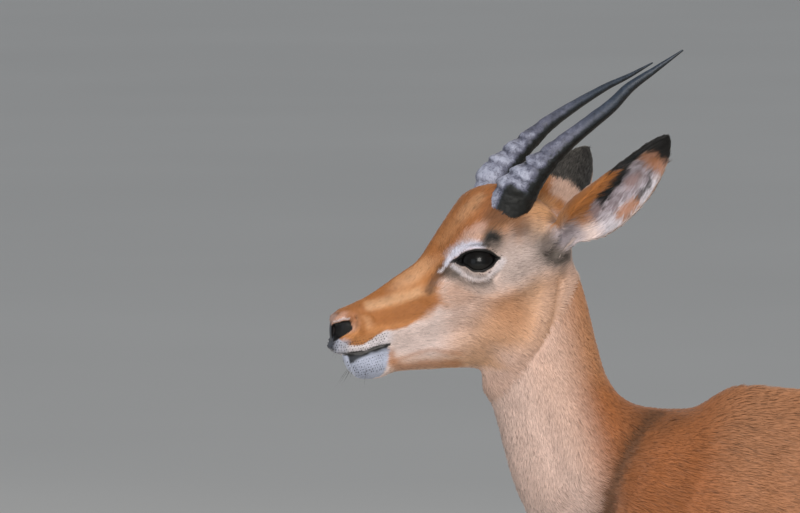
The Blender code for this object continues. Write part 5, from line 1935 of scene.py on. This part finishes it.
class Surface:
    """A material being made: each step adds a node and gives the socket with its result."""

    def __init__(self, name: str) -> None:
        """Makes the material.

        Args:
            name: Its name.
        """
        self.material = bpy.data.materials.new(name)
        self.material.use_nodes = True
        self.tree = self.material.node_tree

    def field(self, name: str, output: str = "Fac") -> bpy.types.NodeSocket:
        """What the mesh stores at its vertices under a name."""
        return add_node(self.tree, "Attribute", {"attribute_name": name}).outputs[output]

    def pattern(self, kind: str, size: float, output: str = "Fac", **settings: object) -> bpy.types.NodeSocket:
        """A texture whose spots are so many metres wide."""
        place = add_node(self.tree, "TexCoord").outputs["Object"]
        return add_node(self.tree, f"Tex{kind}", {"Scale": 1 / size, **settings}, Vector=place).outputs[output]

    def spread(self, value: bpy.types.NodeSocket, low: float, high: float, start: float = 0.0, end: float = 1.0):
        """The value, with the range from start to end spread from low to high."""
        settings = {"From Min": start, "From Max": end, "To Min": low, "To Max": high}
        return add_node(self.tree, "MapRange", settings, Value=value).outputs["Result"]

    def math(self, operation: str, *terms: object) -> bpy.types.NodeSocket:
        """One sum or product of sockets and numbers."""
        numbers = {index: term for index, term in enumerate(terms) if isinstance(term, float)}
        sockets = {f"_{index}": term for index, term in enumerate(terms) if not isinstance(term, float)}
        return add_node(self.tree, "Math", {"operation": operation, **numbers}, **sockets).outputs[0]

    def shaded(self, colour: bpy.types.NodeSocket, light: bpy.types.NodeSocket) -> bpy.types.NodeSocket:
        """A colour made lighter or darker."""
        scaled = add_node(self.tree, "VectorMath", {"operation": "SCALE"}, Vector=colour, Scale=light)
        return scaled.outputs["Vector"]

    def ramp(self, value: bpy.types.NodeSocket, *stops: tuple) -> bpy.types.NodeSocket:
        """A colour for each value, from stops that are each a place and a hex colour."""
        node = add_node(self.tree, "ValToRGB", Fac=value)
        elements = node.color_ramp.elements
        for index, (place, code) in enumerate(stops):
            element = elements[index] if index < 2 else elements.new(place)
            element.position = place
            element.color = (*linear(code), 1.0)
        return node.outputs["Color"]

    def bump(self, height: bpy.types.NodeSocket, strength: float, distance: float) -> bpy.types.NodeSocket:
        """Relief as high as the distance where the height is 1."""
        settings = {"Strength": strength, "Distance": distance}
        return add_node(self.tree, "Bump", settings, Height=height).outputs["Normal"]

    def dress(self, **inputs: object) -> bpy.types.Material:
        """The finished material.

        Args:
            inputs: Sockets or values for the shader, by its inputs' names with _ for a space.

        Returns:
            The material.
        """
        shader = self.tree.nodes["Principled BSDF"]
        for name, value in inputs.items():
            socket = shader.inputs[name.replace("_", " ")]
            if isinstance(value, bpy.types.NodeSocket):
                self.tree.links.new(socket, value)
            else:
                socket.default_value = value
        return self.material


@dataclass(frozen=True)
class HairFinish:
    """Short glossy guard hair: soft edges, a faint sheen and a little difference from lock to lock."""

    name: str = "short_guard_hair"
    roughness: float = 0.62
    sheen: float = 0.1
    patch: float = 0.035  # metres across one faint cloud of lighter or darker coat

    def build(self) -> bpy.types.Material:
        """The material."""
        new = Surface(self.name)
        cloud = new.spread(new.pattern("Noise", self.patch, Detail=3.0), 0.88, 1.12)
        return new.dress(
            Base_Color=new.shaded(new.field(COAT, "Color"), cloud), Roughness=self.roughness, IOR=1.55,
            Specular_IOR_Level=0.24, Sheen_Weight=self.sheen, Sheen_Roughness=0.45,
        )


@dataclass(frozen=True)
class HideFinish:
    """Hide under short hair: the hair's roots as fine bump, and damp pebbled skin where it is bare."""

    name: str = "hide_and_bare_skin"
    hair: float = 0.0011  # metres between the strands that the bump shows, coarser than real hair
    pebble: float = 0.0013  # metres across a pebble of the nose's skin

    def build(self) -> bpy.types.Material:
        """The material."""
        new = Surface(self.name)
        bare = new.field(BARE)
        strand = new.pattern("Noise", self.hair, Detail=2.0)
        pebble = new.pattern("Voronoi", self.pebble, "Distance", feature="SMOOTH_F1")
        relief = add_node(new.tree, "Mix", {"data_type": "FLOAT"}, _0=bare, _2=strand, _3=pebble).outputs[0]
        return new.dress(
            Base_Color=new.shaded(new.field(COAT, "Color"), new.spread(strand, 0.8, 1.15)),
            Roughness=new.spread(bare, 0.72, 0.38), Normal=new.bump(relief, 0.35, 0.0004), Specular_IOR_Level=0.25,
        )


@dataclass(frozen=True)
class HornFinish:
    """Horn keratin: dark slate with chalky, worn ring crests low down and a smoother dark tip, lighter on the
    front and top and darker below and between the rings as painted light and shade.
    """

    name: str = "horn_keratin"
    grain: float = 0.002  # metres between the wrinkles
    chalk: float = 0.0075  # metres across a worn patch
    pit: float = 0.007  # metres between the cracks of the rings

    def build(self) -> bpy.types.Material:
        """The material."""
        new = Surface(self.name)
        along = new.field("along")
        fine = new.pattern("Noise", self.grain, Detail=4.0, Roughness=0.65)
        worn = new.pattern("Noise", self.chalk, Detail=3.0, Distortion=0.6)
        grain = new.spread(new.math("MULTIPLY_ADD", fine, 0.6, worn), -0.16, 0.16, 0.5, 1.1)
        fold = new.math("SUBTRACT", new.pattern("Noise", self.pit, Detail=2.5, Distortion=1.2), 0.5)
        crack = new.spread(new.math("ABSOLUTE", fold), -0.22, 0.0, 0.0, 0.045)
        # the stored paleness carries painted light and shade as well as wear
        pale = new.math("ADD", grain, new.field("pale"))
        level = new.math("MULTIPLY_ADD", crack, new.spread(along, 0.0, 1.0, 0.5, 0.2), pale)
        low = new.ramp(level, (0.0, "0A0C0B"), (0.25, "1A1E20"), (0.6, "545666"), (1.0, "989CAD"))
        tip = new.ramp(level, (0.05, "0E1316"), (0.55, "303A48"))
        high = new.spread(along, 0.0, 1.0, 0.42, 0.72)
        return new.dress(
            Base_Color=add_node(new.tree, "Mix", {"data_type": "RGBA"}, _0=high, _6=low, _7=tip).outputs[2],
            Roughness=new.spread(along, 0.62, 0.4), Normal=new.bump(fine, 0.55, 0.0006), Specular_IOR_Level=0.28,
        )


@dataclass(frozen=True)
class HoofFinish:
    """Hoof keratin: near-black horn, polished by wear and banded by growth."""

    name: str = "hoof_keratin"
    band: float = 0.0035  # metres between growth bands

    def build(self) -> bpy.types.Material:
        """The material."""
        new = Surface(self.name)
        bands = new.pattern("Wave", self.band / WAVE_SPAN, bands_direction="Z", Distortion=1.5)
        return new.dress(
            Base_Color=new.ramp(bands, (0.0, "171514"), (1.0, "35302C")),
            Normal=new.bump(bands, 0.3, 0.0003), Roughness=0.38, IOR=1.56,
        )


@dataclass(frozen=True)
class EyeFinish:
    """A wet eye: near-black ball, umber iris and black pupil under one clear coat."""

    name: str = "wet_eye"

    def build(self) -> bpy.types.Material:
        """The material."""
        new = Surface(self.name)
        ball, iris, pupil = ((*linear(code), 1) for code in ("080707", "070504", "050607"))
        mixed = {"data_type": "RGBA"}
        around = add_node(new.tree, "Mix", {**mixed, 6: ball, 7: iris}, _0=new.field("iris"))
        whole = add_node(new.tree, "Mix", {**mixed, 7: pupil}, _0=new.field("pupil"), _6=around.outputs[2])
        return new.dress(
            Base_Color=whole.outputs[2], Roughness=0.4, Specular_IOR_Level=0.1,
            Coat_Weight=1.0, Coat_IOR=1.22, Coat_Roughness=0.02,
        )


@dataclass(frozen=True)
class LidFinish:
    """The bare black edge of the lids, damp and finely creased."""

    name: str = "bare_lid_skin"
    crease: float = 0.0008  # metres between creases

    def build(self) -> bpy.types.Material:
        """The material."""
        new = Surface(self.name)
        crease = new.pattern("Noise", self.crease, Detail=2.0)
        return new.dress(
            Base_Color=new.ramp(crease, (0.3, "060606"), (0.8, "120F0E")),
            Normal=new.bump(crease, 0.3, 0.0002), Roughness=0.5, Specular_IOR_Level=0.25,
        )


@dataclass(frozen=True)
class PaperFinish:
    """Matt studio paper: pale, flat and very faintly clouded."""

    name: str = "matt_studio_paper"
    cloud: float = 1 / 0.6  # metres across a cloud

    def build(self) -> bpy.types.Material:
        """The material."""
        new = Surface(self.name)
        cloud = new.pattern("Noise", self.cloud, Detail=2.0)
        return new.dress(Base_Color=new.ramp(cloud, (0.3, "E2E2DF"), (0.7, "E7E7E4")), Roughness=0.95)


# ---------------------------------------------------------------------------------------------------
# Studio and animal


@dataclass
class Studio:
    """A pale floor, soft lights and the camera."""

    aim: Vector
    distance: float = 9.0
    azimuth: float = -13.0
    elevation: float = 5.0
    view_width: float = 0.8
    sensor: float = 36.0

    def place(self, name: str, data: bpy.types.ID, spot: Vector) -> bpy.types.Object:
        """Puts a camera or a light somewhere and turns it to the aim."""
        obj = bpy.data.objects.new(name, data)
        obj.location = spot
        obj.rotation_euler = (self.aim - spot).to_track_quat("-Z", "Y").to_euler()
        bpy.context.scene.collection.objects.link(obj)
        return obj

    def camera(self) -> None:
        """A long lens level with the head, a little in front of the animal's left side."""
        turn, lift = math.radians(self.azimuth), math.radians(self.elevation)
        ray = Vector((math.sin(turn) * math.cos(lift), -math.cos(turn) * math.cos(lift), math.sin(lift)))
        data = bpy.data.cameras.new("camera")
        data.sensor_width = self.sensor
        data.lens = self.sensor * self.distance / self.view_width
        data.clip_end = 200.0
        bpy.context.scene.camera = self.place("camera", data, self.aim + ray * self.distance)

    def light(self, name: str, spot: tuple, size: float, watts: float, tint: str) -> None:
        """One soft square light that faces the head."""
        data = bpy.data.lights.new(name, "AREA")
        data.size = size
        data.energy = watts
        data.color = linear(tint)
        self.place(name, data, Vector(spot))

    def floor(self) -> None:
        """A wide pale sheet under the feet."""
        bm = bmesh.new()
        bmesh.ops.create_grid(bm, x_segments=1, y_segments=1, size=60.0)
        sheet = new_object("floor", bm)
        sheet.data.materials.append(PaperFinish().build())

    def build(self) -> None:
        """Sets the whole studio."""
        self.camera()
        self.floor()
        self.light("key", (-0.9, -4.6, 3.2), 2.6, 300.0, "FFFAF5")
        self.light("fill", (-4.4, -2.6, 1.6), 2.6, 26.0, "EEF3FF")
        self.light("rim", (1.4, 2.4, 3.6), 2.0, 80.0, "FFF3E4")
        world = bpy.data.worlds.new("studio")
        world.use_nodes = True
        sky = world.node_tree.nodes["Background"]
        sky.inputs["Color"].default_value = (*linear("F2F5FA"), 1.0)
        sky.inputs["Strength"].default_value = 0.34
        scene = bpy.context.scene
        scene.world = world
        scene.view_settings.view_transform = "Standard"


@dataclass
class Impala:
    """The whole animal: it builds its pieces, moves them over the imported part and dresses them."""

    shift: float
    socket_depth: float = 0.004  # how far below its path's start a horn's foot reaches under the coat
    bare_foot: float = 0.02  # radius round a horn's foot that no hair grows in

    def settle(self, obj: bpy.types.Object, material: bpy.types.Material, slot: str, *nodes: str) -> None:
        """Moves a piece from the drawing to the part's place, dresses it and fixes it to the part."""
        points = points_of(obj.data)
        points[:, 0] += self.shift
        place_points(obj.data, points)
        obj.data.materials.clear()
        obj.data.materials.append(material)
        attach(obj, "root")
        if nodes:
            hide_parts(*nodes)
        LOG.info("%s: %d faces", obj.name, len(obj.data.polygons))

    def hair(self, lie: Lie, socket: EyeSocket) -> None:
        """The skin and the coat over it."""
        skin = Skin(lie, socket).build()
        feet = [
            (x, sign * y, z - self.socket_depth, self.bare_foot)
            for side, sign in SIDES.items() for x, y, z, _ in HORN_PATHS[side][:2]
        ]
        coat = Coat(skin, lie, Markings(lie, socket), tuple(feet))
        coat.paint_skin()
        hair = HairFinish().build()
        pieces = coat.build()
        legs = [f"{side}_{leg}_leg_{part}" for side in SIDES for leg in HIP_HEIGHT for part in ("upper", "lower")]
        self.settle(skin, HideFinish().build(), "coat_red_brown", *FLESH, *legs)
        for piece, patch in pieces:
            self.settle(piece, hair, patch.slot)

    def build(self) -> None:
        """All pieces in order."""
        lie, socket = Lie(), EyeSocket()
        self.hair(lie, socket)
        horn, hoof, eye, lid = HornFinish().build(), HoofFinish().build(), EyeFinish().build(), LidFinish().build()
        for side in SIDES:
            self.settle(Horn(side).build(), horn, "horn", f"{side}_horn")
            self.settle(Eye(side, socket).ball(), eye, "eye", f"{side}_eye")
            self.settle(Eye(side, socket).rims(), lid, "coat_face")
            for leg in HIP_HEIGHT:
                for where in ("outer", "inner"):
                    claw = Claw(side, leg, where).build()
                    self.settle(claw, hoof, "hoof", f"{side}_{leg}_claw_{where}")


def main() -> None:
    """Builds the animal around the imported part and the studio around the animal."""
    logging.basicConfig(level=logging.INFO, format="%(message)s")
    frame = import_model()
    LOG.info("dressing %d solids", len(frame["nodes"]))
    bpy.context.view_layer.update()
    low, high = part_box("left_eye")
    Impala((low.x + high.x) / 2 - EYE_CENTRE[0]).build()
    Studio(Vector((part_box("head")[0].x + AIM_BEHIND_NOSE, 0.0, AIM_HEIGHT))).build()


if __name__ == "__main__":
    main()
